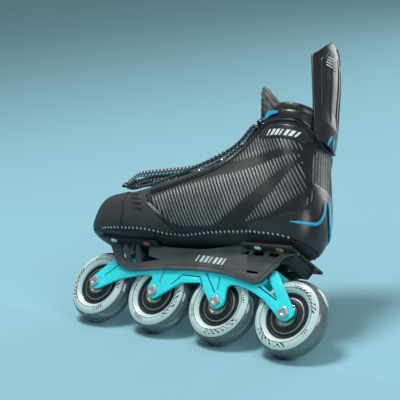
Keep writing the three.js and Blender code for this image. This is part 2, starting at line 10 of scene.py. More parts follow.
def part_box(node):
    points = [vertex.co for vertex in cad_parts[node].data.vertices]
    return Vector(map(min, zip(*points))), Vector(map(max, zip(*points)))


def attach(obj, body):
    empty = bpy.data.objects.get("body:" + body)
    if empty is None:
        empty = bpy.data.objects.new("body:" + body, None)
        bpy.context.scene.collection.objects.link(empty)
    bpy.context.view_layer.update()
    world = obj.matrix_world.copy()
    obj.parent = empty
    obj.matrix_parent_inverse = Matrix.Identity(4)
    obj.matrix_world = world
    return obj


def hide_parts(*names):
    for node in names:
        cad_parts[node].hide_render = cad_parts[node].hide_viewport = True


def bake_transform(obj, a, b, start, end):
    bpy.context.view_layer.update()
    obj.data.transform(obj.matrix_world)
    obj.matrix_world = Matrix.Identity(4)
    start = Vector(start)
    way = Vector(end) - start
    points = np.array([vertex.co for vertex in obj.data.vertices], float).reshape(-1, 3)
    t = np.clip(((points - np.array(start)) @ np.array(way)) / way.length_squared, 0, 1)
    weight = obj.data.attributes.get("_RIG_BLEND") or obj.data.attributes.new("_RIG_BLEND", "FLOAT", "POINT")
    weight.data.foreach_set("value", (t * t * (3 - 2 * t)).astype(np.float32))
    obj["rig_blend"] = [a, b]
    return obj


bl_info = {
    "name": "Inline hockey skate",
    "version": (1, 0, 0),
    "blender": (4, 5, 0),
    "location": "3D View > Sidebar > Skate",
    "description": "Builds the finished surfaces of an inline hockey skate round its working frame",
    "category": "Object",
}

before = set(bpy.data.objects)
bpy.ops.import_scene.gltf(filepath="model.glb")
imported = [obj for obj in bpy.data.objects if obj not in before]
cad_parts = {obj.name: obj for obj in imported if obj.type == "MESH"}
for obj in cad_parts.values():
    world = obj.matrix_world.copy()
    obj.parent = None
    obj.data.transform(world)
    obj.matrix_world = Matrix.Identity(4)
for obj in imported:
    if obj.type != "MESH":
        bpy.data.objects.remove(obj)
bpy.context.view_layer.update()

# Everything below is modelled in millimetres and scaled once, when a piece is finished.
# Toe towards -X, heel towards +X, outer side towards -Y, floor at Z 0.
MM = 0.001
SIDES = ((-1, "lateral"), (1, "medial"))
WHEELS = (1, 2, 3, 4)


def box_of(node):
    """The lowest and highest corner of a working part, in millimetres."""
    low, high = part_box(node)
    return low / MM, high / MM


def centre_of(node):
    low, high = box_of(node)
    return (low + high) / 2


WHEEL_R = box_of("tyre_1")[1].z / 2
HUB_R = (box_of("hub_1")[1].z - box_of("hub_1")[0].z) / 2
BEARING_R = (box_of("bearing_lateral_1")[1].z - box_of("bearing_lateral_1")[0].z) / 2
BEARING_OUT = box_of("bearing_medial_1")[1].y
PLATE_OUT = box_of("lower_frame")[1].y
PLATE_THICK = 2.5
PANEL_OUT = PLATE_OUT + 3.4
PANEL_THICK = 2.9
DECK_HALF = 31


# ---------------------------------------------------------------- settings

def size(name, description, default):
    return bpy.props.FloatProperty(name=name, description=description, default=default * MM,
                                   unit="LENGTH", precision=4)


def colour(name, description, default):
    return bpy.props.FloatVectorProperty(name=name, description=description, default=default,
                                         subtype="COLOR", size=3, min=0, max=1)


class SkateSizes(bpy.types.PropertyGroup):
    rib_pitch: size("Rib pitch", "Distance from one shell rib to the next", 3.3)
    rib_width: size("Rib width", "Width of one shell rib", 1.9)
    rib_height: size("Rib height", "How far a rib stands above the shell", 0.45)
    edge_round: size("Edge rounding", "Rounding of the milled and moulded edges", 0.45)
    groove: size("Groove width", "Width of the grooves cut in the lower frame", 1.5)
    lace_width: size("Lace width", "Width of the flat lace", 8.0)
    lace_thick: size("Lace thickness", "Thickness of the flat lace", 1.5)
    stitch: size("Stitch pitch", "Distance from one stitch on the sole seam to the next", 4.8)
    piping: size("Piping radius", "Radius of the piping along the facings", 0.9)


class SkateColours(bpy.types.PropertyGroup):
    turquoise: colour("Turquoise", "Anodised lower frame", (0.02, 0.80, 0.84))
    chassis: colour("Chassis grey", "Moulded upper chassis", (0.082, 0.077, 0.074))
    shell: colour("Shell black", "Composite shell of the boot", (0.007, 0.007, 0.0075))
    rib: colour("Rib grey", "Crest of the shell ribs", (0.125, 0.122, 0.120))
    toe: colour("Toe grey", "Toe cap and vamp", (0.030, 0.029, 0.029))
    accent: colour("Cyan accent", "Trim on cuff and heel", (0.0, 0.42, 0.66))
    urethane: colour("Urethane", "Clear smoky tyre", (0.40, 0.50, 0.49))
    tyre_print: colour("Tyre print", "Pale printed ring on the tyre side", (0.66, 0.78, 0.74))
    copper: colour("Copper", "Rivets", (0.56, 0.20, 0.065))


class StageSettings(bpy.types.PropertyGroup):
    floor: colour("Floor", "Plain pale floor", (0.27, 0.52, 0.60))
    lean: bpy.props.FloatProperty(name="Floor lean", subtype="ANGLE", default=math.radians(42),
                                  description="Angle between the leaning floor and the wheels' axles")
    lens: bpy.props.FloatProperty(name="Lens", description="Focal length of the camera",
                                  default=107.0, unit="CAMERA")
    place: bpy.props.FloatVectorProperty(name="Camera place", subtype="TRANSLATION", size=3,
                                         description="Where the camera stands",
                                         default=(0.7368, -0.8819, -0.2122))
    aim: bpy.props.FloatVectorProperty(name="Camera aim", subtype="TRANSLATION", size=3,
                                       description="The point that the camera looks at",
                                       default=(-0.0360, 0.0, 0.1469))
    roll: bpy.props.FloatProperty(name="Camera roll", subtype="ANGLE",
                                  description="Turn of the camera about its own axis",
                                  default=math.radians(-20.16))


# ---------------------------------------------------------------- shader maths

class Wire:
    """One output of a material's nodes, with the arithmetic used on it."""

    def __init__(self, paint, socket):
        self.paint = paint
        self.socket = socket

    def maths(self, operation, *values):
        return self.paint.node("ShaderNodeMath", {"operation": operation}, *values)

    def __add__(self, other):
        return self.maths("ADD", self, other)

    def __sub__(self, other):
        return self.maths("SUBTRACT", self, other)

    def __rsub__(self, other):
        return self.maths("SUBTRACT", other, self)

    def __mul__(self, other):
        return self.maths("MULTIPLY", self, other)

    def __truediv__(self, other):
        return self.maths("DIVIDE", self, other)

    def __gt__(self, other):
        return self.maths("GREATER_THAN", self, other)

    def __lt__(self, other):
        return self.maths("LESS_THAN", self, other)

    __radd__ = __add__
    __rmul__ = __mul__

    def fraction(self):
        return self.maths("FRACT", self)

    def sine(self):
        return self.maths("SINE", self)

    def size(self):
        return self.maths("ABSOLUTE", self)

    def smooth(self, low, high):
        """0 below low, 1 above high, and a soft step between them."""
        return self.paint.node("ShaderNodeMapRange", {"interpolation_type": "SMOOTHSTEP"},
                               self, low, high, 0, 1)


class Paint:
    """A material under construction."""

    def __init__(self, name):
        self.material = bpy.data.materials.new(name)
        self.material.use_nodes = True
        self.tree = self.material.node_tree
        self.tree.nodes.clear()

    def node(self, kind, settings=None, *values, out=0, **named):
        made = self.tree.nodes.new(kind)
        for key, value in (settings or {}).items():
            setattr(made, key, value)
        wanted = [(made.inputs[index], value) for index, value in enumerate(values)]
        wanted += [(made.inputs[key.replace("_", " ")], value) for key, value in named.items()]
        for socket, value in wanted:
            self.feed(socket, value)
        return Wire(self, made.outputs[out])

    def feed(self, socket, value):
        if isinstance(value, Wire):
            self.tree.links.new(value.socket, socket)
        elif value is not None:
            if socket.type == "RGBA" and len(value) == 3:
                value = (*value, 1)
            socket.default_value = value

    def mix(self, factor, first, second):
        """A colour between two others."""
        made = self.tree.nodes.new("ShaderNodeMix")
        made.data_type = "RGBA"
        self.feed(made.inputs[0], factor)
        self.feed(made.inputs[6], first)
        self.feed(made.inputs[7], second)
        return Wire(self, made.outputs[2])

    def place(self):
        """The point on the piece, in metres."""
        return self.node("ShaderNodeTexCoord", out="Object")

    def parts(self, vector):
        split = self.tree.nodes.new("ShaderNodeSeparateXYZ")
        self.feed(split.inputs[0], vector)
        return [Wire(self, output) for output in split.outputs]

    def stretched(self, vector, scale):
        return self.node("ShaderNodeVectorMath", {"operation": "MULTIPLY"}, vector, scale)

    def noise(self, scale, detail=3, vector=None):
        return self.node("ShaderNodeTexNoise", None, Vector=vector or self.place(),
                         Scale=scale, Detail=detail, out="Fac")

    def cells(self, scale, out="Distance"):
        return self.node("ShaderNodeTexVoronoi", None, Vector=self.place(), Scale=scale, out=out)

    def attribute(self, name):
        return self.node("ShaderNodeAttribute", {"attribute_name": name}, out="Fac")

    def bump(self, height, depth, strength=1.0):
        """A normal from a height of 0 to 1; depth is in millimetres."""
        return self.node("ShaderNodeBump", None, Strength=strength, Distance=depth * MM, Height=height)

    def surface(self, base, rough, normal=None, metal=0.0, **constants):
        """Ends the material in one Principled surface."""
        shader = self.principled(base, rough, normal, metal, **constants)
        return self.close(shader)

    def principled(self, base, rough, normal=None, metal=0.0, **constants):
        return self.node("ShaderNodeBsdfPrincipled", None, Base_Color=base, Roughness=rough,
                         Metallic=metal, Normal=normal, **constants)

    def close(self, shader):
        output = self.tree.nodes.new("ShaderNodeOutputMaterial")
        self.tree.links.new(shader.socket, output.inputs[0])
        return self.material


materials = {}


def finish(name):
    """Keeps the material that a maker returns, so that each is made once."""
    def keep(maker):
        def get():
            if name not in materials:
                materials[name] = maker(Paint(name))
            return materials[name]
        return get
    return keep


def colours():
    return bpy.context.scene.skate_colours


def sizes():
    return bpy.context.scene.skate_sizes


def shade(base, factor):
    return tuple(min(channel * factor, 1) for channel in base)


@finish("urethane_clear")
def urethane_clear(paint):
    cloud = paint.noise(45, 4)
    scuff = paint.noise(420, 2, paint.stretched(paint.place(), (1, 0.15, 1)))
    base = paint.mix(cloud, colours().urethane, shade(colours().urethane, 0.72))
    rough = 0.10 + 0.16 * scuff.smooth(0.5, 0.75)
    return paint.surface(base, rough, paint.bump(scuff, 0.04), Transmission_Weight=0.72, IOR=1.49,
                         Coat_Weight=0.4, Coat_Roughness=0.08)


def tyre_print(wheel):
    """Pale ring printed on the tyre, with plain bar marks that run round the axle."""
    paint = Paint(f"tyre_print_{wheel}")
    middle = centre_of(f"hub_{wheel}") * MM
    across = paint.node("ShaderNodeVectorMath", {"operation": "SUBTRACT"}, paint.place(), tuple(middle))
    x, _, z = paint.parts(across)
    radius = paint.node("ShaderNodeVectorMath", {"operation": "LENGTH"},
                        paint.stretched(across, (1, 0, 1)), out="Value") / MM
    turn = (x.maths("ARCTAN2", z, x) / math.tau + 0.13 * wheel + 0.5).fraction()
    ink = None
    for start, end, low, high, bars, slant in ((0.05, 0.27, 26.2, 31.2, 42, 0.22),
                                               (0.42, 0.49, 27.0, 30.6, 75, 0.0),
                                               (0.62, 0.82, 26.2, 31.2, 36, -0.22),
                                               (0.91, 0.96, 27.0, 30.6, 75, 0.0)):
        band = (turn > start) * (turn < end) * (radius > low) * (radius < high)
        bar = (turn * bars + radius * slant).fraction() > 0.46
        gap = ((radius - low) * (2 / (high - low)) + turn * bars * 0.23).fraction() > 0.16
        mark = band * bar * gap
        ink = mark if ink is None else ink.maths("MAXIMUM", ink, mark)
    worn = paint.noise(260, 4).smooth(0.36, 0.52)
    ring = paint.mix(paint.noise(70, 4), colours().tyre_print, shade(colours().tyre_print, 0.86))
    base = paint.mix(ink * worn, ring, (0.012, 0.016, 0.017))
    return paint.surface(base, 0.28 + 0.2 * paint.noise(160), Coat_Weight=0.5, Coat_Roughness=0.12)


@finish("hub_black")
def hub_black(paint):
    grain = paint.noise(900, 2)
    base = paint.mix(grain, (0.010, 0.011, 0.012), (0.022, 0.023, 0.024))
    return paint.surface(base, 0.36 + 0.16 * grain, paint.bump(grain, 0.03), Specular_IOR_Level=0.3)


@finish("hub_ring")
def hub_ring(paint):
    grain = paint.noise(500)
    base = paint.mix(grain, (0.20, 0.21, 0.21), (0.34, 0.35, 0.35))
    return paint.surface(base, 0.3 + 0.2 * grain, metal=0.6)


@finish("bearing_steel")
def bearing_steel(paint):
    haze = paint.noise(700, 3)
    base = paint.mix(haze, (0.62, 0.57, 0.52), (0.40, 0.30, 0.23))
    return paint.surface(base, 0.16 + 0.16 * haze, metal=1.0)


@finish("axle_steel")
def axle_steel(paint):
    brushed = paint.noise(900, 3, paint.stretched(paint.place(), (0.25, 1, 1)))
    worn = paint.noise(300, 4).smooth(0.45, 0.7)
    base = paint.mix(worn, (0.66, 0.63, 0.61), (0.42, 0.35, 0.33))
    return paint.surface(base, 0.26 + 0.22 * brushed, paint.bump(brushed, 0.05), metal=0.9)


@finish("turquoise_alloy")
def turquoise_alloy(paint):
    cloud = paint.noise(60, 4)
    fine = paint.noise(1500, 2, paint.stretched(paint.place(), (0.2, 1, 1)))
    scratch = paint.noise(220, 5, paint.stretched(paint.place(), (1, 1, 4))).smooth(0.63, 0.7)
    base = paint.mix(cloud, colours().turquoise, shade(colours().turquoise, 0.86))
    base = paint.mix(scratch * 0.35, base, (0.45, 0.85, 0.86))
    return paint.surface(base, 0.36 + 0.16 * fine, paint.bump(fine, 0.03), Coat_Weight=0.25, Coat_Roughness=0.2)


@finish("turquoise_groove_painted_shade")
def turquoise_groove_painted_shade(paint):
    # Painted shade: the groove floors are coloured a near-black teal for the shade that falls in the recess.
    cloud = paint.noise(200, 3)
    deep = shade(colours().turquoise, 0.16)
    return paint.surface(paint.mix(cloud, deep, shade(deep, 0.6)), 0.55)


@finish("grey_composite")
def grey_composite(paint):
    cloud = paint.noise(38, 5)
    streak = paint.noise(120, 4, paint.stretched(paint.place(), (0.18, 1, 1)))
    grain = paint.noise(1300, 2)
    base = paint.mix(cloud.smooth(0.3, 0.7), shade(colours().chassis, 0.72), shade(colours().chassis, 1.35))
    base = paint.mix(streak.smooth(0.55, 0.75) * 0.4, base, shade(colours().chassis, 2.1))
    return paint.surface(base, 0.44 + 0.2 * grain, paint.bump(grain, 0.06), Coat_Weight=0.08)


@finish("copper_rivet")
def copper_rivet(paint):
    tarnish = paint.noise(600, 4)
    base = paint.mix(tarnish.smooth(0.4, 0.65), colours().copper, shade(colours().copper, 0.5))
    return paint.surface(base, 0.25 + 0.25 * tarnish, metal=0.85)


@finish("nickel")
def nickel(paint):
    haze = paint.noise(900)
    return paint.surface(paint.mix(haze, (0.72, 0.72, 0.73), (0.5, 0.5, 0.52)), 0.18 + 0.15 * haze, metal=1.0)


@finish("damper_rubber")
def damper_rubber(paint):
    grain = paint.noise(700, 3)
    return paint.surface(paint.mix(grain, (0.0, 0.17, 0.30), (0.0, 0.10, 0.19)), 0.5 + 0.2 * grain,
                         paint.bump(grain, 0.08))


@finish("shell_black")
def shell_black(paint):
    grain = paint.noise(1100, 3)
    cloud = paint.noise(30, 3)
    base = paint.mix(cloud, colours().shell, shade(colours().shell, 1.6))
    return paint.surface(base, 0.34 + 0.14 * grain, paint.bump(grain, 0.05), Specular_IOR_Level=0.3,
                         Coat_Weight=0.08, Coat_Roughness=0.3)


@finish("shell_rib")
def shell_rib(paint):
    thread = (paint.noise(60, 2, paint.stretched(paint.place(), (1, 1, 1))))
    knurl = paint.cells(900)
    base = paint.mix(thread.smooth(0.3, 0.7), shade(colours().rib, 0.7), shade(colours().rib, 1.25))
    return paint.surface(base, 0.32 + 0.12 * knurl, paint.bump(knurl, 0.10), Coat_Weight=0.25,
                         Coat_Roughness=0.3)


@finish("patent_black")
def patent_black(paint):
    crease = paint.noise(95, 5)
    grain = paint.cells(1400)
    base = paint.mix(paint.noise(25), (0.008, 0.008, 0.009), (0.020, 0.019, 0.019))
    height = crease * 0.7 + grain * 0.15
    return paint.surface(base, 0.27 + 0.16 * crease, paint.bump(height, 0.35, 0.8), Specular_IOR_Level=0.4,
                         Coat_Weight=0.22, Coat_Roughness=0.2)


@finish("moulded_toe")
def moulded_toe(paint):
    grain = paint.cells(1700)
    cloud = paint.noise(28, 4)
    base = paint.mix(cloud.smooth(0.3, 0.7), shade(colours().toe, 0.8), shade(colours().toe, 1.3))
    return paint.surface(base, 0.50 + 0.14 * grain, paint.bump(grain, 0.08), Specular_IOR_Level=0.35)


@finish("sole_black")
def sole_black(paint):
    grain = paint.noise(800, 3)
    streak = paint.noise(60, 4, paint.stretched(paint.place(), (0.2, 1, 1)))
    base = paint.mix(streak, (0.009, 0.009, 0.010), (0.026, 0.025, 0.025))
    return paint.surface(base, 0.34 + 0.2 * grain, paint.bump(grain, 0.06), Specular_IOR_Level=0.3)


@finish("lining_weave")
def lining_weave(paint):
    x, y, z = paint.parts(paint.stretched(paint.place(), (1700, 1700, 1700)))
    weave = ((x + y).sine() * (z - y).sine()) * 0.5 + 0.5
    base = paint.mix(weave * 0.6 + paint.noise(90) * 0.4, (0.010, 0.010, 0.011), (0.045, 0.045, 0.048))
    return paint.surface(base, 0.85, paint.bump(weave, 0.25), Sheen_Weight=0.3, Sheen_Roughness=0.5)


@finish("felt_black")
def felt_black(paint):
    fibre = paint.noise(1600, 5)
    base = paint.mix(fibre, (0.006, 0.006, 0.007), (0.040, 0.040, 0.043))
    return paint.surface(base, 0.9, paint.bump(fibre, 0.35), Sheen_Weight=0.5, Sheen_Roughness=0.45)


@finish("lace_black")
def lace_black(paint):
    along = paint.attribute("along")
    across = paint.attribute("across")
    braid = (along * 4.2 + across * 2.4).sine() * (along * 4.2 - across * 2.4).sine()
    spot = ((along / 4.8).fraction() - 0.5).size() < 0.18
    edge = (across - 0.55).size() < 0.22
    other = (across + 0.55).size() < 0.22
    base = paint.mix(braid * 0.5 + 0.5, (0.004, 0.004, 0.005), (0.026, 0.026, 0.029))
    base = paint.mix(spot * edge, base, (0.80, 0.84, 0.86))
    base = paint.mix(spot * other, base, (0.02, 0.48, 0.62))
    return paint.surface(base, 0.72, paint.bump(braid, 0.25), Sheen_Weight=0.25)


@finish("cyan_trim")
def cyan_trim(paint):
    cloud = paint.noise(300, 3)
    return paint.surface(paint.mix(cloud, colours().accent, shade(colours().accent, 0.8)), 0.3 + 0.1 * cloud,
                         Coat_Weight=0.4)


@finish("pale_mark")
def pale_mark(paint):
    worn = paint.noise(500, 4)
    base = paint.mix(worn.smooth(0.55, 0.75), (0.72, 0.72, 0.72), (0.40, 0.40, 0.40))
    return paint.surface(base, 0.45 + 0.2 * worn)


@finish("thread_grey")
def thread_grey(paint):
    ply = paint.noise(2200, 2, paint.stretched(paint.place(), (0.4, 1, 1)))
    return paint.surface(paint.mix(ply, (0.46, 0.46, 0.47), (0.22, 0.22, 0.23)), 0.5, paint.bump(ply, 0.1))


# ---------------------------------------------------------------- mesh work

def rounded(corners, steps=4):
    """An outline whose corners, each (x, z) or (x, z, radius), are turned into short curves."""
    points = []
    for index, (x, z, *radius) in enumerate(corners):
        corner = Vector((x, z))
        back = Vector(corners[index - 1][:2]) - corner
        on = Vector(corners[(index + 1) % len(corners)][:2]) - corner
        reach = min(radius[0] if radius else 0, back.length * 0.49, on.length * 0.49)
        start = corner + back.normalized() * reach
        end = corner + on.normalized() * reach
        if reach == 0:
            points.append(corner)
            continue
        for step in range(steps + 1):
            share = step / steps
            points.append(start.lerp(corner, share).lerp(corner.lerp(end, share), share))
    return points


def add_prism(bm, corners, low, high, steps=4):
    """A closed prism through Y over an outline in the side view."""
    face = bm.faces.new([bm.verts.new((x, low, z)) for x, z in rounded(corners, steps)])
    grown = bmesh.ops.extrude_face_region(bm, geom=[face])
    far = [item for item in grown["geom"] if isinstance(item, bmesh.types.BMVert)]
    bmesh.ops.translate(bm, vec=(0, high - low, 0), verts=far)
    bmesh.ops.recalc_face_normals(bm, faces=bm.faces)


def prism(corners, low, high, steps=4):
    bm = bmesh.new()
    add_prism(bm, corners, low, high, steps)
    return bm


def turn_about_axle(bm, profile, segments, rounding=0.3):
    """Spins a closed profile of (radius, y) corners about the Y axis."""
    part = bmesh.new()
    corners = [part.verts.new((radius, y, 0)) for radius, y in profile]
    for index, corner in enumerate(corners):
        part.edges.new((corners[index - 1], corner))
    if rounding:
        bmesh.ops.bevel(part, geom=corners, offset=rounding, offset_type="OFFSET", segments=2,
                        profile=0.5, affect="VERTICES", material=-1)
    bmesh.ops.spin(part, geom=part.verts[:] + part.edges[:], cent=(0, 0, 0), axis=(0, 1, 0),
                   angle=math.tau, steps=segments, use_merge=True)
    bmesh.ops.recalc_face_normals(part, faces=part.faces)
    pour(part, bm)


def pour(part, bm, material=None):
    """Adds one mesh to another and uses it up."""
    if material is not None:
        for face in part.faces:
            face.material_index = material
    holder = bpy.data.meshes.new("holder")
    part.to_mesh(holder)
    part.free()
    bm.from_mesh(holder)
    bpy.data.meshes.remove(holder)


def place_bmesh(bm, middle):
    bmesh.ops.translate(bm, vec=middle, verts=bm.verts)


def carve(bm, tool, operation="DIFFERENCE"):
    """Cuts or joins one closed mesh with another; both are used up."""
    holders = []
    for part in (bm, tool):
        mesh = bpy.data.meshes.new("holder")
        part.to_mesh(mesh)
        part.free()
        holder = bpy.data.objects.new("holder", mesh)
        bpy.context.scene.collection.objects.link(holder)
        holders.append(holder)
    cut = holders[0].modifiers.new("carve", "BOOLEAN")
    cut.operation = operation
    cut.object = holders[1]
    cut.solver = "EXACT"
    result = bmesh.new()
    result.from_object(holders[0], bpy.context.evaluated_depsgraph_get())
    for holder in holders:
        mesh = holder.data
        bpy.data.objects.remove(holder)
        bpy.data.meshes.remove(mesh)
    return result


def put_piece(name, bm, finishes, body, slot, replaces=(), wall=0.0, edge=0.0, sharp=38):
    """Turns a millimetre mesh into a finished piece that rides on a body."""
    bmesh.ops.scale(bm, vec=(MM,) * 3, verts=bm.verts)
    mesh = bpy.data.meshes.new(name)
    bm.to_mesh(mesh)
    bm.free()
    piece = bpy.data.objects.new(name, mesh)
    bpy.context.scene.collection.objects.link(piece)
    for material in finishes:
        mesh.materials.append(material)
    if wall:
        solid = piece.modifiers.new("wall", "SOLIDIFY")
        solid.thickness = wall * MM
        solid.offset = -1
    if edge:
        bevel = piece.modifiers.new("edge", "BEVEL")
        bevel.width = edge * MM
        bevel.segments = 2
        bevel.limit_method = "ANGLE"
        bevel.angle_limit = math.radians(50)
        bevel.use_clamp_overlap = True
    settle(piece, sharp)
    if body:
        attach(piece, body)
    if replaces:
        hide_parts(*replaces)
    return piece


def settle(piece, sharp=38):
    """Applies a piece's modifiers and shades it smooth but for its sharp edges."""
    if piece.modifiers:
        shape = piece.evaluated_get(bpy.context.evaluated_depsgraph_get())
        mesh = bpy.data.meshes.new_from_object(shape)
        piece.modifiers.clear()
        old = piece.data
        piece.data = mesh
        mesh.name = piece.name
        bpy.data.meshes.remove(old)
    piece.data.shade_smooth()
    piece.data.set_sharp_from_angle(angle=math.radians(sharp))


def inside(x, y, corners):
    """Whether a point lies inside an outline."""
    hit = False
    for index, (x1, y1) in enumerate(corners):
        x0, y0 = corners[index - 1]
        if (y0 > y) != (y1 > y) and x < (x1 - x0) * (y - y0) / (y1 - y0) + x0:
            hit = not hit
    return hit


def trim(bm, corners, keep_inside=True, flat=(0, 2)):
    """Cuts a sheet along an outline in the side view, or in the plan with flat (0, 1), and keeps one part."""
    for index, corner in enumerate(corners):
        start, end = Vector(corners[index - 1]), Vector(corner)
        run = end - start
        if run.length < 1e-6:
            continue
        low = [min(start[axis], end[axis]) - 0.01 for axis in (0, 1)]
        high = [max(start[axis], end[axis]) + 0.01 for axis in (0, 1)]
        near = []
        for face in bm.faces:
            spans = [[vert.co[axis] for vert in face.verts] for axis in flat]
            if all(min(span) < top and max(span) > bottom for span, bottom, top in zip(spans, low, high)):
                near.append(face)
        edges = {edge for face in near for edge in face.edges}
        verts = {vert for face in near for vert in face.verts}
        point, normal = [0, 0, 0], [0, 0, 0]
        point[flat[0]], point[flat[1]] = start
        normal[flat[0]], normal[flat[1]] = -run.y, run.x
        bmesh.ops.bisect_plane(bm, geom=near + list(edges) + list(verts), dist=0.002,
                               plane_co=point, plane_no=Vector(normal).normalized())
    outline = [tuple(corner) for corner in corners]
    gone = []
    for face in bm.faces:
        middle = face.calc_center_median()
        if inside(middle[flat[0]], middle[flat[1]], outline) != keep_inside:
            gone.append(face)
    bmesh.ops.delete(bm, geom=gone, context="FACES")
    bmesh.ops.dissolve_degenerate(bm, dist=0.01, edges=bm.edges)


def add_tube(bm, points, wide, high=None, sides=8, ups=None, tapers=None, marks=False):
    """A closed tube or flat strip along a line; wide and high are its half width and half thickness."""
    high = wide if high is None else high
    count = len(points)
    points = [Vector(point) for point in points]
    part = bmesh.new()
    bmesh.ops.create_cone(part, cap_ends=True, cap_tris=False, segments=sides, radius1=1, radius2=1,
                          depth=count - 1)
    if count > 2:
        runs = [edge for edge in part.edges if abs(edge.verts[0].co.z - edge.verts[1].co.z) > 0.5]
        bmesh.ops.subdivide_edges(part, edges=runs, cuts=count - 2, use_grid_fill=True)
    layers = [part.verts.layers.float.new(name) for name in ("along", "across")] if marks else []
    up = Vector((0, 0, 1))
    frames = []
    travelled = 0.0
    for index, point in enumerate(points):
        run = (points[min(index + 1, count - 1)] - points[max(index - 1, 0)]).normalized()
        up = Vector(ups[index]) if ups else up
        side = run.cross(up).normalized()
        up = side.cross(run).normalized()
        if index:
            travelled += (point - points[index - 1]).length
        grow = tapers[index] if tapers else 1.0
        frames.append((point, side * grow, up * grow, travelled))
    for vert in part.verts:
        index = round(vert.co.z + (count - 1) / 2)
        point, side, rise, travelled = frames[index]
        if marks:
            vert[layers[0]] = travelled
            vert[layers[1]] = vert.co.x
        vert.co = point + side * (vert.co.x * wide) + rise * (vert.co.y * high)
    bmesh.ops.recalc_face_normals(part, faces=part.faces)
    if marks:
        for name in ("along", "across"):
            if name not in bm.verts.layers.float:
                bm.verts.layers.float.new(name)
    pour(part, bm)


def smooth_line(points, step):
    """Points at an even step along a smooth curve through the given ones."""
    points = [Vector(point) for point in points]
    padded = [points[0] * 2 - points[1], *points, points[-1] * 2 - points[-2]]
    dense = []
    for index in range(1, len(padded) - 2):
        before, start, end, after = padded[index - 1:index + 3]
        for part in range(12):
            share = part / 12
            dense.append(0.5 * (2 * start + (end - before) * share
                                + (2 * before - 5 * start + 4 * end - after) * share ** 2
                                + (3 * start - before - 3 * end + after) * share ** 3))
    dense.append(points[-1])
    return even(dense, step)


def even(points, step):
    """The same line with its points an even step apart."""
    lengths = [0.0]
    for start, end in zip(points, points[1:]):
        lengths.append(lengths[-1] + (end - start).length)
    count = max(1, round(lengths[-1] / step))
    spaced = []
    at = 0
    for index in range(count + 1):
        target = lengths[-1] * index / count
        while at < len(points) - 2 and lengths[at + 1] < target:
            at += 1
        run = max(lengths[at + 1] - lengths[at], 1e-9)
        spaced.append(points[at].lerp(points[at + 1], min(1, (target - lengths[at]) / run)))
    return spaced


# ---------------------------------------------------------------- the boot's form

# Stations along the boot: crown point (x, z), base point (x, z), half width, height of the
# widest place as a share, and how square the crown and the base are.
STATIONS = (
    ((-146.5, 114), (-146.5, 96), 9, 0.5, 2, 2.2),
    ((-143, 123.5), (-143.5, 90), 19, 0.46, 2.2, 2.8),
    ((-137, 130.5), (-137.5, 87), 29.5, 0.42, 2.5, 3.4),
    ((-126.5, 134.5), (-126.5, 85.5), 38.5, 0.42, 2.6, 3.6),
    ((-110, 137.5), (-110, 85), 44.8, 0.42, 2.6, 3.8),
    ((-88, 143.5), (-88, 85), 48.5, 0.42, 2.4, 3.8),
    ((-60, 157), (-60, 86.5), 48, 0.42, 2.2, 3.8),
    ((-32, 171), (-32, 89), 45.5, 0.42, 2.2, 3.6),
    ((-10, 184), (-5, 91.5), 43, 0.42, 2.2, 3.4),
    ((3, 196), (30, 94.5), 41, 0.44, 2.2, 3.2),
    ((10, 207), (65, 96.5), 39, 0.46, 2.2, 3),
    ((13.5, 218), (98, 98), 37, 0.48, 2.2, 2.7),
    ((16, 226), (117, 106), 35.5, 0.5, 2.2, 2.5),
    ((18, 232), (122.5, 128), 35.5, 0.5, 2.2, 2.3),
    ((20, 238), (116, 154), 36, 0.5, 2.2, 2.2),
    ((21.5, 243), (106, 178), 36, 0.5, 2.2, 2.2),
    ((23, 248), (97, 204), 36.5, 0.5, 2.2, 2.2),
    ((25, 255), (91, 230), 38, 0.5, 2.2, 2.2),
    ((27, 262), (88, 250), 39, 0.5, 2.2, 2.2),
)
ROWS = np.array([[*top, *base, *rest] for top, base, *rest in STATIONS])
TOE_CENTRE = -108
TOE_RADIUS = 45.5
SEAM = [(-170, 88.5), (-111, 88.8), (-79, 90.3), (-56, 92.2), (-31, 92.6), (-9, 94.6), (22, 100.5), (65, 106.6),
        (95, 108.2), (140, 107)]
CUFF = [(-170, 210), (-20, 214), (22, 217), (45, 224), (76, 225.5), (89, 220.5), (95, 213), (102, 207), (140, 206)]
RIM = [(-170, 236), (0, 236), (20, 239), (52, 247), (82, 248), (96, 246), (140, 246)]
LINER_WALL = 5.5


def station_at(place):
    """The boot's section at a place along the stations, smoothly between them."""
    place = min(max(place, 0), len(ROWS) - 1 - 1e-6)
    index = int(place)
    share = place - index
    before, start, end, after = (ROWS[min(max(index + step, 0), len(ROWS) - 1)] for step in (-1, 0, 1, 2))
    return 0.5 * (2 * start + (end - before) * share + (2 * before - 5 * start + 4 * end - after) * share ** 2
                  + (3 * start - before - 3 * end + after) * share ** 3)


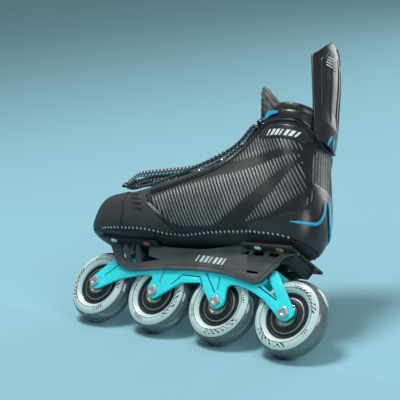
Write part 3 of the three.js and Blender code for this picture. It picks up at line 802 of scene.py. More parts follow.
def ring(place, offset, shares):
    """Points round the boot at a place: share 0 is the crown, 0.5 the base, the outer side comes first."""
    nose = min(max(-place, 0), 1)
    top_x, top_z, base_x, base_z, half, wide, round_top, round_base = station_at(place)
    rise = np.array([top_x - base_x, top_z - base_z])
    height = np.hypot(*rise)
    along = rise / height
    shrink = math.sqrt(max(1 - nose * nose, 1e-6))
    base = np.array([base_x, base_z]) + along * height * (1 - shrink) / 2 - offset * along * shrink
    height = (height + 2 * offset) * shrink
    half = (half + offset) * shrink
    middle = height * wide
    angle = math.pi / 2 + math.tau * np.linspace(0, 1, 361)
    up = np.sin(angle) >= 0
    power = np.where(up, 2 / round_top, 2 / round_base)
    y = half * np.sign(np.cos(angle)) * np.abs(np.cos(angle)) ** power
    reach = np.abs(np.sin(angle)) ** power
    level = np.where(up, middle + (height - middle) * reach, middle - middle * reach)
    x = base[0] + along[0] * level
    x = np.where(x < TOE_CENTRE, TOE_CENTRE + (x - TOE_CENTRE) * (TOE_RADIUS + offset) / TOE_RADIUS, x)
    x = x - nose * 0.9
    line = np.stack([x, y, base[1] + along[1] * level], 1)
    lengths = np.concatenate([[0], np.cumsum(np.linalg.norm(np.diff(line, axis=0), axis=1))])
    wanted = np.asarray(shares) * lengths[-1]
    return np.stack([np.interp(wanted, lengths, line[:, axis]) for axis in range(3)], 1)


def form_patch(offset, places, around, per_place=7, rows=96):
    """A sheet over the boot's form between two places and two shares of the ring."""
    bm = bmesh.new()
    columns = round((places[1] - places[0]) * per_place)
    bmesh.ops.create_grid(bm, x_segments=columns, y_segments=rows, size=1)
    shares = np.linspace(*around, rows + 1)
    rings = [ring(places[0] + (places[1] - places[0]) * column / columns, offset, shares)
             for column in range(columns + 1)]
    for vert in bm.verts:
        column = round((vert.co.x + 1) / 2 * columns)
        row = round((vert.co.y + 1) / 2 * rows)
        vert.co = rings[column][row]
    bmesh.ops.remove_doubles(bm, verts=bm.verts, dist=0.01)
    bmesh.ops.reverse_faces(bm, faces=bm.faces)
    return bm


def on_crown(place, y, offset):
    """The point of the form over a given y, on its crown side."""
    top_x, top_z, base_x, base_z, half, wide, round_top, _ = station_at(place)
    rise = Vector((top_x - base_x, 0, top_z - base_z))
    height = rise.length + 2 * offset
    along = rise.normalized()
    base = Vector((base_x, 0, base_z)) - along * offset
    middle = height * wide
    share = min(abs(y) / (half + offset), 0.999) ** round_top
    level = middle + (height - middle) * (1 - share) ** (1 / round_top)
    point = base + along * level
    return Vector((point.x, y, point.z))


FORM_TREE = {}


def form_tree():
    if "tree" not in FORM_TREE:
        bm = form_patch(0, (-1, len(STATIONS) - 1), (0, 1), per_place=6, rows=120)
        FORM_TREE["tree"] = BVHTree.FromBMesh(bm)
        bm.free()
    return FORM_TREE["tree"]


def on_side(x, z, side, lift=0.0):
    """The point of the boot's flank at (x, z), lifted along its normal, and that normal."""
    hit, normal, _, _ = form_tree().ray_cast(Vector((x, side * 90, z)), Vector((0, -side, 0)))
    if hit is None:
        hit, normal, _, _ = form_tree().find_nearest(Vector((x, side * 20, z)))
    if normal.y * side < 0 and abs(normal.y) > 0.1:
        normal = -normal
    return hit + normal * lift, normal


def flank_patch(outline, side, lift, step=2.0):
    """A sheet over the boot's flank inside an outline in the side view."""
    xs, zs = zip(*[(x, z) for x, z in outline])
    span = (max(xs) - min(xs), max(zs) - min(zs))
    bm = bmesh.new()
    bmesh.ops.create_grid(bm, x_segments=max(2, round(span[0] / step)), y_segments=max(2, round(span[1] / step)),
                          size=1)
    for vert in bm.verts:
        vert.co = Vector((min(xs) + span[0] * (vert.co.x + 1) / 2, 0, min(zs) + span[1] * (vert.co.y + 1) / 2))
    trim(bm, outline)
    for vert in bm.verts:
        vert.co = on_side(vert.co.x, vert.co.z, side, lift)[0]
    if side > 0:
        bmesh.ops.reverse_faces(bm, faces=bm.faces)
    return bm


def crown_patch(places, inner, outer, offset, rows=4):
    """A strip beside the throat: from one half width to another, given at each place."""
    bm = bmesh.new()
    columns = round((places[1] - places[0]) * 8)
    bmesh.ops.create_grid(bm, x_segments=columns, y_segments=rows, size=1)
    for vert in bm.verts:
        place = places[0] + (places[1] - places[0]) * (vert.co.x + 1) / 2
        share = (vert.co.y + 1) / 2
        vert.co = on_crown(place, inner(place) * (1 - share) + outer(place) * share, offset)
    bmesh.ops.recalc_face_normals(bm, faces=bm.faces)
    if sum(face.normal.z for face in bm.faces) < 0:
        bmesh.ops.reverse_faces(bm, faces=bm.faces)
    return bm


THROAT_FRONT, THROAT_BACK = -84, 40
THROAT_NARROW, THROAT_BROAD = 13, 22


def throat_half(place):
    """Half the width of the throat opening at a place."""
    x = station_at(place)[0]
    return THROAT_NARROW + (THROAT_BROAD - THROAT_NARROW) * (x - THROAT_FRONT) / (THROAT_BACK - THROAT_FRONT)


def region_below(line, rise=0.0):
    return [(x, z + rise) for x, z in line] + [(140, 20), (-170, 20)]


# ---------------------------------------------------------------- wheels

TREAD_R = 11
TREAD_HALF = 12
TREAD_MIDDLE = WHEEL_R - TREAD_R
BEAD_R = HUB_R + 0.3
BEAD_HALF = 8.5
HUB_FACE = 8.2


def flank(radius):
    """How far the tyre's side stands from the wheel's middle at a radius."""
    if radius <= TREAD_MIDDLE:
        return BEAD_HALF + (TREAD_HALF - BEAD_HALF) * (radius - BEAD_R) / (TREAD_MIDDLE - BEAD_R)
    return TREAD_HALF * math.sqrt(max(0, 1 - ((radius - TREAD_MIDDLE) / TREAD_R) ** 2))


def tyre_mesh():
    arc = [(TREAD_MIDDLE + TREAD_R * math.cos(turn), TREAD_HALF * math.sin(turn))
           for turn in np.linspace(-math.pi / 2, math.pi / 2, 19)]
    bm = bmesh.new()
    turn_about_axle(bm, [(BEAD_R, -BEAD_HALF), *arc, (BEAD_R, BEAD_HALF)], 96, rounding=0)
    return bm


def print_mesh():
    radii = np.linspace(BEAD_R + 0.5, 33.6, 7)
    bm = bmesh.new()
    for side, _ in SIDES:
        face = [(radius, side * (flank(radius) + 0.14)) for radius in radii]
        back = [(radius, side * (flank(radius) + 0.02)) for radius in reversed(radii)]
        turn_about_axle(bm, face + back, 96, rounding=0)
    return bm


def hub_mesh():
    inner = BEARING_OUT - 7.3
    bm = bmesh.new()
    turn_about_axle(bm, [
        (BEARING_R + 0.3, -BEARING_OUT), (14.2, -BEARING_OUT), (14.6, -BEARING_OUT + 0.9),
        (15.6, -BEARING_OUT + 1.1), (17.2, -HUB_FACE), (18.6, -HUB_FACE + 1.2), (20.4, -HUB_FACE + 1.2),
        (21, -HUB_FACE), (HUB_R, -HUB_FACE), (HUB_R, HUB_FACE), (21, HUB_FACE),
        (20.4, HUB_FACE - 1.2), (18.6, HUB_FACE - 1.2), (17.2, HUB_FACE), (15.6, BEARING_OUT - 1.1),
        (14.6, BEARING_OUT - 0.9), (14.2, BEARING_OUT), (BEARING_R + 0.3, BEARING_OUT),
        (BEARING_R + 0.3, inner), (9, inner), (9, -inner), (BEARING_R + 0.3, -inner),
    ], 72, rounding=0.2)
    for side, _ in SIDES:
        ringed = bmesh.new()
        turn_about_axle(ringed, [(16.6, side * (HUB_FACE + 0.05)), (17.7, side * (HUB_FACE - 0.35)),
                                 (17.7, side * (HUB_FACE + 0.2)), (16.6, side * (HUB_FACE + 0.6))], 72, 0.12)
        pour(ringed, bm, material=1)
    return bm


def bearing_mesh(side):
    """Outer and inner race with a shield between them, set back a little."""
    deep = BEARING_OUT - 7
    bm = bmesh.new()
    turn_about_axle(bm, [(9.6, side * deep), (BEARING_R, side * deep), (BEARING_R, side * BEARING_OUT),
                         (9.6, side * BEARING_OUT)], 60, 0.25)
    turn_about_axle(bm, [(4.3, side * deep), (6.1, side * deep), (6.1, side * BEARING_OUT),
                         (4.3, side * BEARING_OUT)], 60, 0.25)
    turn_about_axle(bm, [(6.3, side * (deep + 0.5)), (9.4, side * (deep + 0.5)), (9.4, side * (BEARING_OUT - 0.7)),
                         (8.9, side * (BEARING_OUT - 0.4)), (6.8, side * (BEARING_OUT - 0.4)),
                         (6.3, side * (BEARING_OUT - 0.7))], 60, 0)
    return bm


class SKATE_OT_wheels(bpy.types.Operator):
    """Build the tyres, printed rings, hubs and bearings of the four wheels"""
    bl_idname = "skate.wheels"
    bl_label = "Wheels"

    def execute(self, context):
        for wheel in WHEELS:
            middle = centre_of(f"hub_{wheel}")
            body = f"wheel_{wheel}"
            parts = [
                ("tyre", tyre_mesh(), [urethane_clear()], "clear_urethane", (f"tyre_{wheel}",)),
                ("print", print_mesh(), [tyre_print(wheel)], "clear_urethane", ()),
                ("core", hub_mesh(), [hub_black(), hub_ring()], "black_hub", (f"hub_{wheel}",)),
            ]
            for side, word in SIDES:
                parts.append((f"race_{word}", bearing_mesh(side), [bearing_steel()], "bearing_steel",
                              (f"bearing_{word}_{wheel}",)))
            for name, bm, finishes, slot, nodes in parts:
                place_bmesh(bm, middle)
                put_piece(f"wheel_{wheel}_{name}", bm, finishes, body, slot, nodes)
        return {"FINISHED"}


# ---------------------------------------------------------------- axle bolts

HEAD_HALF = 4.9
HEAD_TURN = math.radians(38)
HEAD_RISE = 1.6


def square_outline(half, radius, turn):
    corners = []
    for step in range(4):
        angle = turn + math.tau * step / 4
        corners.append((half * math.sqrt(2) * math.cos(angle), half * math.sqrt(2) * math.sin(angle), radius))
    return corners


def axle_mesh():
    seat = -PLATE_OUT - 0.3
    head = prism(square_outline(HEAD_HALF, 2.4, HEAD_TURN + math.pi / 4), seat - HEAD_RISE, seat)
    key = prism([(2.6 * math.cos(step * math.tau / 6), 2.6 * math.sin(step * math.tau / 6)) for step in range(6)],
                seat - HEAD_RISE - 1, seat - HEAD_RISE + 0.8)
    head = carve(head, key)
    turn_about_axle(head, [(0.01, seat + 0.01), (3.99, seat + 0.01), (3.99, PLATE_OUT + 0.5),
                           (3.2, PLATE_OUT + 1.15), (0.01, PLATE_OUT + 1.15)], 32, 0)
    bmesh.ops.remove_doubles(head, verts=head.verts, dist=0.02)
    turn_about_axle(head, [(4.3, PLATE_OUT + 0.05), (6.2, PLATE_OUT + 0.05), (6.2, PLATE_OUT + 0.7),
                           (5.6, PLATE_OUT + 1.1), (4.3, PLATE_OUT + 1.1)], 6, 0)
    return head


class SKATE_OT_axles(bpy.types.Operator):
    """Build the four axle bolts with their square heads"""
    bl_idname = "skate.axles"
    bl_label = "Axle bolts"

    def execute(self, context):
        for wheel in WHEELS:
            bm = axle_mesh()
            place_bmesh(bm, centre_of(f"hub_{wheel}"))
            put_piece(f"axle_bolt_{wheel}", bm, [axle_steel()], "frame", "axle_steel", (f"axle_{wheel}",),
                      edge=0.3)
        return {"FINISHED"}


# ---------------------------------------------------------------- lower frame

PLATE_OUTLINE = [
    (-128.5, 39, 5), (-101.5, 68.5, 2), (-94, 63.5, 2), (-98.5, 57, 1), (-90, 59.5), (-76, 60), (-60, 61),
    (-38, 65.5), (-12, 68), (-8, 75.5, 6), (8, 75.5, 6), (12, 69.5), (45, 69.5), (66, 66), (84, 63),
    (94, 57.5), (106.5, 52.5, 1), (91.5, 69.5, 2), (98, 77.5, 2), (132.5, 39, 5), (122, 28.4, 8),
    (96, 46.5), (76, 54.5, 12), (60, 58, 10), (46.5, 56.5, 8), (51, 38, 5), (41, 28.4, 8), (29, 41),
    (15, 54.5, 3), (-9, 51.5, 3), (-29, 35.5), (-38.5, 28.4, 8), (-48.5, 39, 5), (-44, 54, 7),
    (-60, 53.8, 8), (-90, 44.5), (-118, 28.4, 8),
]
GROOVES = [
    [(-98.5, 57), (-109, 46)],
    [(-34, 60.5), (-35, 48.5)],
    [(-20, 47.5), (-9.5, 59.3), (12, 60), (19.5, 50.5)],
    [(18, 65), (36, 46.5)],
    [(36, 63), (38, 50)],
    [(83, 59.5), (108, 49)],
    [(95, 66), (90, 61.5), (107, 51.5)],
]
GROOVE_DEEP = 0.8


def bar_outline(start, end, half):
    """A bar from one point to another, as four corners."""
    run = (Vector(end) - Vector(start)).normalized() * half
    across = Vector((-run.y, run.x))
    start, end = Vector(start) - run * 0.6, Vector(end) + run * 0.6
    return [tuple(start - across), tuple(end - across), tuple(end + across), tuple(start + across)]


def plate_mesh(side):
    near, far = side * (PLATE_OUT - PLATE_THICK), side * PLATE_OUT
    low, high = min(near, far), max(near, far)
    bm = prism(PLATE_OUTLINE, low, high)
    for wheel in WHEELS:
        middle = centre_of(f"hub_{wheel}")
        boss = bmesh.new()
        turn_about_axle(boss, [(4.3, side * (PLATE_OUT - 4.1)), (6.4, side * (PLATE_OUT - 4.1)),
                               (7, side * (PLATE_OUT - 2.6)), (7, side * (PLATE_OUT - 2)),
                               (4.3, side * (PLATE_OUT - 2))], 40, 0)
        place_bmesh(boss, (middle.x, 0, middle.z))
        bm = carve(bm, boss, "UNION")
        hole = bmesh.new()
        bmesh.ops.create_cone(hole, cap_ends=True, segments=32, radius1=4.3, radius2=4.3, depth=60,
                              matrix=Matrix.Translation((middle.x, 0, middle.z)) @ Matrix.Rotation(math.pi / 2, 4, "X"))
        bm = carve(bm, hole)
    return bm


def engrave(bm, side):
    """Cuts the grooves into one plate's outer face."""
    half = sizes().groove / MM / 2
    span = sorted((side * (PLATE_OUT - GROOVE_DEEP), side * (PLATE_OUT + 1)))
    for line in GROOVES:
        for start, end in zip(line, line[1:]):
            bm = carve(bm, prism(bar_outline(start, end, half), *span))
    return bm


def bridge_outline(x):
    return [(x - 9, 69, 0.8), (x - 9, 66.5, 0.8), (x - 3, 58.5, 0.8), (x + 3, 58.5, 0.8), (x + 9, 66.5, 0.8),
            (x + 9, 69, 0.8)]


class SKATE_OT_lower_frame(bpy.types.Operator):
    """Build the milled lower frame with its engraved grooves and cross bridges"""
    bl_idname = "skate.lower_frame"
    bl_label = "Lower frame"

    def execute(self, context):
        reach = PLATE_OUT - PLATE_THICK + 0.5
        edge = sizes().edge_round / MM
        for side, word in SIDES:
            bm = engrave(plate_mesh(side), side)
            # Groove floors take the second material, a near-black teal that is painted shade for the recess.
            for face in bm.faces:
                deep = abs(face.calc_center_median().y) < PLATE_OUT - GROOVE_DEEP + 0.1
                if abs(face.normal.y) > 0.9 and deep and abs(face.calc_center_median().y) > PLATE_OUT - 1:
                    face.material_index = 1
            put_piece(f"frame_plate_{word}", bm, [turquoise_alloy(), turquoise_groove_painted_shade()], "frame",
                      "turquoise_alloy", ("lower_frame",), edge=edge)
        bm = bmesh.new()
        for x in (-80, 80):
            add_prism(bm, bridge_outline(x), -reach, reach)
        add_prism(bm, [(91.5, 72.7, 1), (97.5, 72.7, 1), (97.5, 77.7, 1), (91.5, 77.7, 1)], -reach, reach)
        put_piece("frame_bridges", bm, [turquoise_alloy()], "frame", "turquoise_alloy", ("lower_frame",), edge=0.5)
        pin = bmesh.new()
        low, high = box_of("rocker_pin")
        turn_about_axle(pin, [(0.01, low.y + 0.4), (0.01, high.y - 0.4), (3.9, high.y - 0.4), (3.9, low.y + 0.4)],
                        40, 0.3)
        bmesh.ops.remove_doubles(pin, verts=pin.verts, dist=0.02)
        place_bmesh(pin, (0, 0, (low.z + high.z) / 2))
        put_piece("rocker_bolt", pin, [axle_steel()], "frame", "axle_steel", ("rocker_pin",))
        return {"FINISHED"}


# ---------------------------------------------------------------- upper chassis

PANEL_OUTLINE = [
    (-119, 84.5), (-95, 58.5, 2), (-88, 57, 2), (-75, 54.6, 8), (-40, 60.4, 8), (-10, 64.2, 8), (20, 66, 8),
    (45, 65.4, 8), (62, 62.4, 4), (78, 59.8, 6), (86, 62.5, 3), (104, 90, 2), (117, 95), (116, 97), (60, 95),
    (48, 96.5, 3), (10, 87.5, 8), (-20, 85.5), (-56, 84),
]
WINDOWS = [
    [(-103, 83.5, 1), (-88, 64.5, 2), (-84.5, 63, 0.6), (-97, 83.5, 1)],
    [(-91.5, 83.5, 1), (-79, 62.8, 0.8), (-71, 63.2, 0.8), (-81, 83.5, 1)],
    [(-75.5, 83.5, 1), (-64.5, 65.2, 1), (-41, 70.5, 1), (-58, 73, 1), (-62, 83.5, 1)],
    [(52, 87.5, 0.6), (62.5, 93, 0.6), (62.5, 88, 0.6)],
    [(67, 88.2, 0.8), (67, 93.5, 0.8), (80, 93.5, 0.8), (80, 88.8, 0.8)],
    [(85, 89, 0.8), (85, 93.5, 0.8), (98, 93.5, 0.8), (96, 89.4, 0.8)],
    [(66, 70, 1.2), (80, 70, 1.2), (80, 72.6, 1.2), (66, 72.6, 1.2)],
]
# Shallow steps moulded into the panel's face, from one point to another
PANEL_STEPS = [
    [(-58, 79), (-20, 80.5), (44, 90)],
    [(-70, 58.5), (-40, 64.5), (-8, 68.3), (20, 70), (44, 69.4)],
    [(84, 66), (100, 90)],
]
MARK = {"start": 2, "end": 40, "low": 74.2, "high": 81, "lean": 2.6, "bars": 7}


def mark_bars(start, end, low, high, lean, bars):
    """Plain leaning bars in a row, which stand where a maker would put a name."""
    pitch = (end - start) / bars
    for bar in range(bars):
        left = start + bar * pitch
        wide = pitch * (0.62 if bar % 3 else 0.34)
        yield [(left, low, 0.4), (left + wide, low, 0.4), (left + wide + lean, high, 0.4), (left + lean, high, 0.4)]


def panel_mesh(side):
    near, far = side * (PANEL_OUT - PANEL_THICK), side * PANEL_OUT
    bm = prism(PANEL_OUTLINE, min(near, far), max(near, far))
    tool = bmesh.new()
    for window in WINDOWS:
        add_prism(tool, window, -30, 30)
    bm = carve(bm, tool)
    for line in PANEL_STEPS:
        for start, end in zip(line, line[1:]):
            bm = carve(bm, prism(bar_outline(start, end, 0.45), *sorted((far - side * 0.45, far + side))))
    return bm


def deck_mesh():
    bm = bmesh.new()
    add_prism(bm, [(-122, 81.5, 1), (-46, 83, 1), (-46, 86.2, 0.5), (-122, 84.6, 0.5)],
              -DECK_HALF, DECK_HALF)
    add_prism(bm, [(58, 92.8, 1), (116, 95, 1), (116, 98, 0.5), (58, 95.6, 0.5)],
              -DECK_HALF, DECK_HALF)
    return bm


def core_mesh():
    """The web, pivot lug, damper feet and rear brackets between the two panels."""
    inner = PANEL_OUT - PANEL_THICK + 0.5
    bm = bmesh.new()
    add_prism(bm, [(-50, 79, 0.5), (50, 79, 0.5), (50, 82, 0.5), (-50, 82, 0.5)], -inner, inner)
    add_prism(bm, [(-8, 58.2, 7), (8, 58.2, 7), (8, 80), (-8, 80)], -12.9, 12.9)
    add_prism(bm, [(-89, 78.6, 0.5), (-71, 78.6, 0.5), (-71, 83), (-89, 83)], -11, 11)
    add_prism(bm, [(71, 78.6, 0.5), (89, 78.6, 0.5), (89, 94), (71, 94)], -11, 11)
    add_prism(bm, [(106, 84, 0.5), (110, 84, 0.5), (114, 95), (108, 95)], -inner, inner)
    for side, _ in SIDES:
        near, far = side * (PANEL_OUT - PANEL_THICK + 0.1), side * (PANEL_OUT - 0.1)
        add_prism(bm, [(99, 84, 1), (110, 84, 1), (116, 96), (101, 96)], min(near, far), max(near, far))
    return bm


class SKATE_OT_upper_chassis(bpy.types.Operator):
    """Build the arched side panels, decks and core of the upper chassis"""
    bl_idname = "skate.upper_chassis"
    bl_label = "Upper chassis"

    def execute(self, context):
        edge = sizes().edge_round / MM
        for side, word in SIDES:
            put_piece(f"chassis_panel_{word}", panel_mesh(side), [grey_composite()], "boot", "grey_composite",
                      ("upper_chassis",), edge=edge)
            bm = bmesh.new()
            near, far = side * (PANEL_OUT - 0.1), side * (PANEL_OUT + 0.12)
            for bar in mark_bars(**MARK):
                add_prism(bm, bar, min(near, far), max(near, far), steps=2)
            put_piece(f"chassis_mark_{word}", bm, [pale_mark()], "boot", "grey_composite")
        put_piece("chassis_decks", deck_mesh(), [sole_black()], "boot", "grey_composite",
                  ("upper_chassis",), edge=0.4)
        put_piece("chassis_core", core_mesh(), [sole_black()], "boot", "grey_composite",
                  ("upper_chassis",), edge=0.4)
        return {"FINISHED"}


class SKATE_OT_dampers(bpy.types.Operator):
    """Build the two ribbed rubber dampers between the chassis halves"""
    bl_idname = "skate.dampers"
    bl_label = "Dampers"

    def execute(self, context):
        for name in ("front_damper", "rear_damper"):
            low, high = box_of(name)
            notches = [low.z + (high.z - low.z) * (rib + 0.55) / 3.2 for rib in range(3)]
            corners = [(low.x, low.z, 1.2), (high.x, low.z, 1.2)]
            for base in notches:
                corners += [(high.x - 0.2, base - 1, 0.5), (high.x - 1.6, base, 0.5), (high.x - 0.2, base + 1, 0.5)]
            corners += [(high.x, high.z, 1.2), (low.x, high.z, 1.2)]
            for base in reversed(notches):
                corners += [(low.x + 0.2, base + 1, 0.5), (low.x + 1.6, base, 0.5), (low.x + 0.2, base - 1, 0.5)]
            bm = prism(corners, low.y, high.y, steps=3)
            piece = put_piece(f"{name}_block", bm, [damper_rubber()], None, "rubber", (), edge=0.4)
            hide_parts(name)
            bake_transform(piece, "frame", "boot", start=(low.x * MM, 0, low.z * MM), end=(low.x * MM, 0, high.z * MM))
        return {"FINISHED"}


class SKATE_OT_rivets(bpy.types.Operator):
    """Build the eight rivets through the sole and decks"""
    bl_idname = "skate.rivets"
    bl_label = "Rivets"

    def execute(self, context):
        for end in ("front", "rear"):
            for _, word in SIDES:
                for row, metal in ((1, nickel()), (2, copper_rivet())):
                    node = f"rivet_{end}_{word}_{row}"
                    low, high = box_of(node)
                    bm = bmesh.new()
                    turn_about_axle(bm, [(0.01, 0), (2.6, 0), (3.7, 0.7), (4.4, 2.1), (4.4, 2.4), (2, 2.4),
                                         (2, high.z - low.z), (0.01, high.z - low.z)], 32, 0)
                    bmesh.ops.remove_doubles(bm, verts=bm.verts, dist=0.02)
                    bmesh.ops.rotate(bm, matrix=Matrix.Rotation(math.pi / 2, 3, "X"), verts=bm.verts)
                    place_bmesh(bm, ((low.x + high.x) / 2, (low.y + high.y) / 2, low.z))
                    put_piece(f"{node}_head", bm, [metal], "boot", "copper_rivet", (node,))
        return {"FINISHED"}


# ---------------------------------------------------------------- sole and shell

TOE_CAP_END = [(-85, 60), (-84.8, 95), (-86, 106), (-93.7, 124.4), (-104, 137), (-114, 190)]
FRONT_EDGE = [(-61.5, 190), (-61.2, 127), (-59, 118), (-22, 98), (-16, 60)]
HEEL_OUTLINE = [(58, 90), (63, 112), (70.6, 117.2), (84, 122), (97.6, 128.4), (108, 134), (115, 142), (113, 155),
                (107, 168), (140, 174), (140, 90)]
FACING_LINE = [(-64, 126), (-61, 128.5), (-44, 137.6), (-29.6, 146.5), (-9.6, 158.2), (3, 168), (11, 177.5), (18, 191),
               (24, 204), (30, 218)]
THROAT = [(THROAT_FRONT, -THROAT_NARROW), (THROAT_BACK, -THROAT_BROAD), (THROAT_BACK, THROAT_BROAD),
          (THROAT_FRONT, THROAT_NARROW)]
EYELETS = 6
EYELET_INSET = 4.6
TOE_LIFT, VAMP_LIFT, QUARTER_LIFT, HEEL_LIFT, FACING_LIFT, LINING_LIFT = 1.4, 0.3, 0.9, 2.2, 1.9, -2.6
LAST = len(STATIONS) - 1


def level_on(line, x):
    """The height of a line at x."""
    xs, zs = zip(*line)
    return float(np.interp(x, xs, zs))


def seam_line(side, start, end, rise, lift, step):
    """Points along the sole seam of one side."""
    count = round((end - start) / step)
    found = []
    for index in range(count + 1):
        x = start + (end - start) * index / count
        found.append(on_side(x, level_on(SEAM, x) + rise, side, lift))
    return [point for point, _ in found], [normal for _, normal in found]


class SKATE_OT_sole(bpy.types.Operator):
    """Build the moulded sole plate with its ledges and the rope stitch on its seam"""
    bl_idname = "skate.sole"
    bl_label = "Sole"

    def execute(self, context):
        bm = form_patch(1, (-1, 14), (0, 1))
        trim(bm, region_below(SEAM))
        put_piece("sole_plate", bm, [sole_black()], "boot", "black_sole", ("outsole",), wall=2.5, edge=0.5)
        stitch = sizes().stitch / MM
        for side, word in SIDES:
            ledge = bmesh.new()
            for start, end, rise, radius in ((-128, -62, -5.5, 1.3), (58, 112, -6, 1.3), (-134, 116, -0.6, 1.1)):
                points, normals = seam_line(side, start, end, rise, 1.2, 5)
                ends = [0.3] + [1.0] * (len(points) - 2) + [0.3]
                add_tube(ledge, points, radius, radius, 8, normals, ends)
            put_piece(f"sole_ledge_{word}", ledge, [sole_black()], "boot", "black_sole")
            rope = bmesh.new()
            for x in np.arange(-112, 106, stitch):
                lift = 2.8 if x > 64 else 2.1 if x < -86 else 1.4
                point, normal = on_side(x, level_on(SEAM, x) + 1.4, side, lift)
                lean = Vector((0.80, 0, -0.42)) * stitch * 0.36
                add_tube(rope, [point - lean, point + normal * 0.5, point + lean], 1.1, 0.65, 6, [normal] * 3,
                         [0.55, 1, 0.55])
            put_piece(f"seam_stitch_{word}", rope, [thread_grey()], "boot", "matte_grey")
        return {"FINISHED"}


class SKATE_OT_shell(bpy.types.Operator):
    """Build the toe cap, vamp, quarters, heel counter and facings"""
    bl_idname = "skate.shell"
    bl_label = "Boot shell"

    def execute(self, context):
        self.layer("toe_box", moulded_toe, "matte_grey", "toe_cap", TOE_LIFT, (-1, 7),
                   [(-200, 60), *TOE_CAP_END, (-200, 190)], wall=3.2, edge=0.7)
        self.layer("vamp_panel", moulded_toe, "matte_grey", "vamp", VAMP_LIFT, (2.6, 10),
                   [(-130, 60), (-130, 190), (-58, 190), (-57, 116.5), (-20, 95), (-14, 60)],
                   throat=THROAT, wall=1.8, edge=0.4)
        self.layer("quarter_shell", shell_black, "ribbed_shell", "quarter", QUARTER_LIFT, (5, LAST),
                   [*FRONT_EDGE, (200, 60), (200, 300), (-66, 300)], rows=140, cuff=0, throat=THROAT,
                   wall=2.6, edge=0.5)
        self.layer("heel_cup", patent_black, "gloss_black", "heel_counter", HEEL_LIFT, (8, 16), HEEL_OUTLINE,
                   rise=0.5, wall=1.6, edge=0.7)
        self.layer("boot_lining", lining_weave, "lining", "liner", LINING_LIFT, (5.6, LAST),
                   [(-61, 60), (-61, 300), (200, 300), (200, 60)], per_place=4, rows=80, rise=1.2, cuff=1,
                   throat=[(x - 5, y * 1.5) for x, y in THROAT], wall=LINER_WALL - 0.6, edge=1.0)
        for side, word in SIDES:
            bm = form_patch(FACING_LIFT, (5, 14), (0, 0.42) if side < 0 else (0.58, 1), rows=64)
            trim(bm, [*FACING_LINE, (30, 300), (-64, 300)])
            trim(bm, THROAT, keep_inside=False, flat=(0, 1))
            trim(bm, region_below(CUFF, -1))
            put_piece(f"facing_{word}", bm, [patent_black()], "boot", "gloss_black", (f"eyestay_{word}",),
                      wall=1.4, edge=0.4)
        self.piping()
        return {"FINISHED"}

    def layer(self, name, maker, slot, node, lift, places, keep, rise=0.3, cuff=None, throat=None,
              rows=120, per_place=7, wall=2.0, edge=0.5):
        """One shell layer: what lies inside an outline, over the seam, under the cuff and beside the throat."""
        bm = form_patch(lift, places, (0, 1), per_place, rows)
        trim(bm, keep)
        trim(bm, region_below(SEAM, rise), keep_inside=False)
        if cuff is not None:
            trim(bm, region_below(CUFF, cuff))
        if throat:
            trim(bm, throat, keep_inside=False, flat=(0, 1))
        put_piece(name, bm, [maker()], "boot", slot, (node,), wall=wall, edge=edge)

    def piping(self):
        """Rolled edges along the facings and the quarter's front edge."""
        radius = sizes().piping / MM
        for side, word in SIDES:
            bm = bmesh.new()
            for rise, lift, share in ((0, 1.5, 1), (2.6, 2.3, 0.8)):
                found = [on_side(x, z + rise, side, lift) for x, z in self.dense(FACING_LINE[1:])]
                add_tube(bm, [point for point, _ in found], radius * share, radius * share, 8,
                         [normal for _, normal in found])
            for inset in (0, 3.2):
                corners = [(-61.5 + inset, 128), (-59.5 + inset, 118.5), (-22 + inset, 98.5)]
                found = [on_side(x, z, side, 1.1) for x, z in self.dense(corners)]
                add_tube(bm, [point for point, _ in found], radius * 0.7, radius * 0.7, 8,
                         [normal for _, normal in found])
            put_piece(f"piping_{word}", bm, [patent_black()], "boot", "gloss_black")

    def dense(self, corners):
        line = [Vector((x, 0, z)) for x, z in corners]
        return [(point.x, point.z) for point in even(line, 3)]


# ---------------------------------------------------------------- shell ribs and marks

RIB_LEAN = math.radians(-50)
RIB_FIELDS = {
    "front": [(-57, 126), (-27.7, 143), (3, 157.5), (20, 162.5), (43, 171.5), (64, 182.5), (85, 191.5), (92, 192.5),
              (89, 182.6), (71.6, 163.3), (56, 142.5), (41.6, 122.4), (25, 104.5), (-9.9, 99), (-22, 100),
              (-55.4, 120.8)],
    "rear": [(93, 186), (75.6, 147.2), (54.5, 112.5), (64.5, 116.8), (80, 122.5), (97.8, 141),
             (107.5, 155.4), (103, 168)],
    "upper": [(21, 190), (29, 213), (39.4, 206), (79, 205), (88, 204), (92, 197), (86, 195.5), (59, 189.5),
              (40, 183), (24, 176), (15, 178)],
}
BACK_RIBS = 11
REAR_EDGE = [(0, 0), (0, 300), (88, 300), (96, 198), (101, 186), (110, 160), (111, 0)]
NAME_PLATE = [(31, 214), (43, 206), (88, 205), (92, 211), (84, 219), (66, 220), (46, 219.5)]
SHELL_MARK = {"start": 47, "end": 84, "low": 208, "high": 214.5, "lean": 2.2, "bars": 7}


def rib_runs(outline, lean, pitch):
    """Straight runs at one pitch across an outline, as pairs of ends."""
    run = Vector((math.cos(lean), math.sin(lean)))
    across = Vector((-run.y, run.x))
    corners = [Vector(corner) for corner in outline]
    offsets = [corner.dot(across) for corner in corners]
    count = int((max(offsets) - min(offsets)) / pitch)
    for index in range(1, count + 1):
        level = min(offsets) + index * pitch
        cuts = []
        for number, end in enumerate(corners):
            start = corners[number - 1]
            near, far = start.dot(across) - level, end.dot(across) - level
            if near * far < 0:
                cuts.append(start.lerp(end, near / (near - far)).dot(run))
        cuts.sort()
        for low, high in zip(cuts[::2], cuts[1::2]):
            if high - low > 3:
                yield across * level + run * (low + 0.6), across * level + run * (high - 0.6)


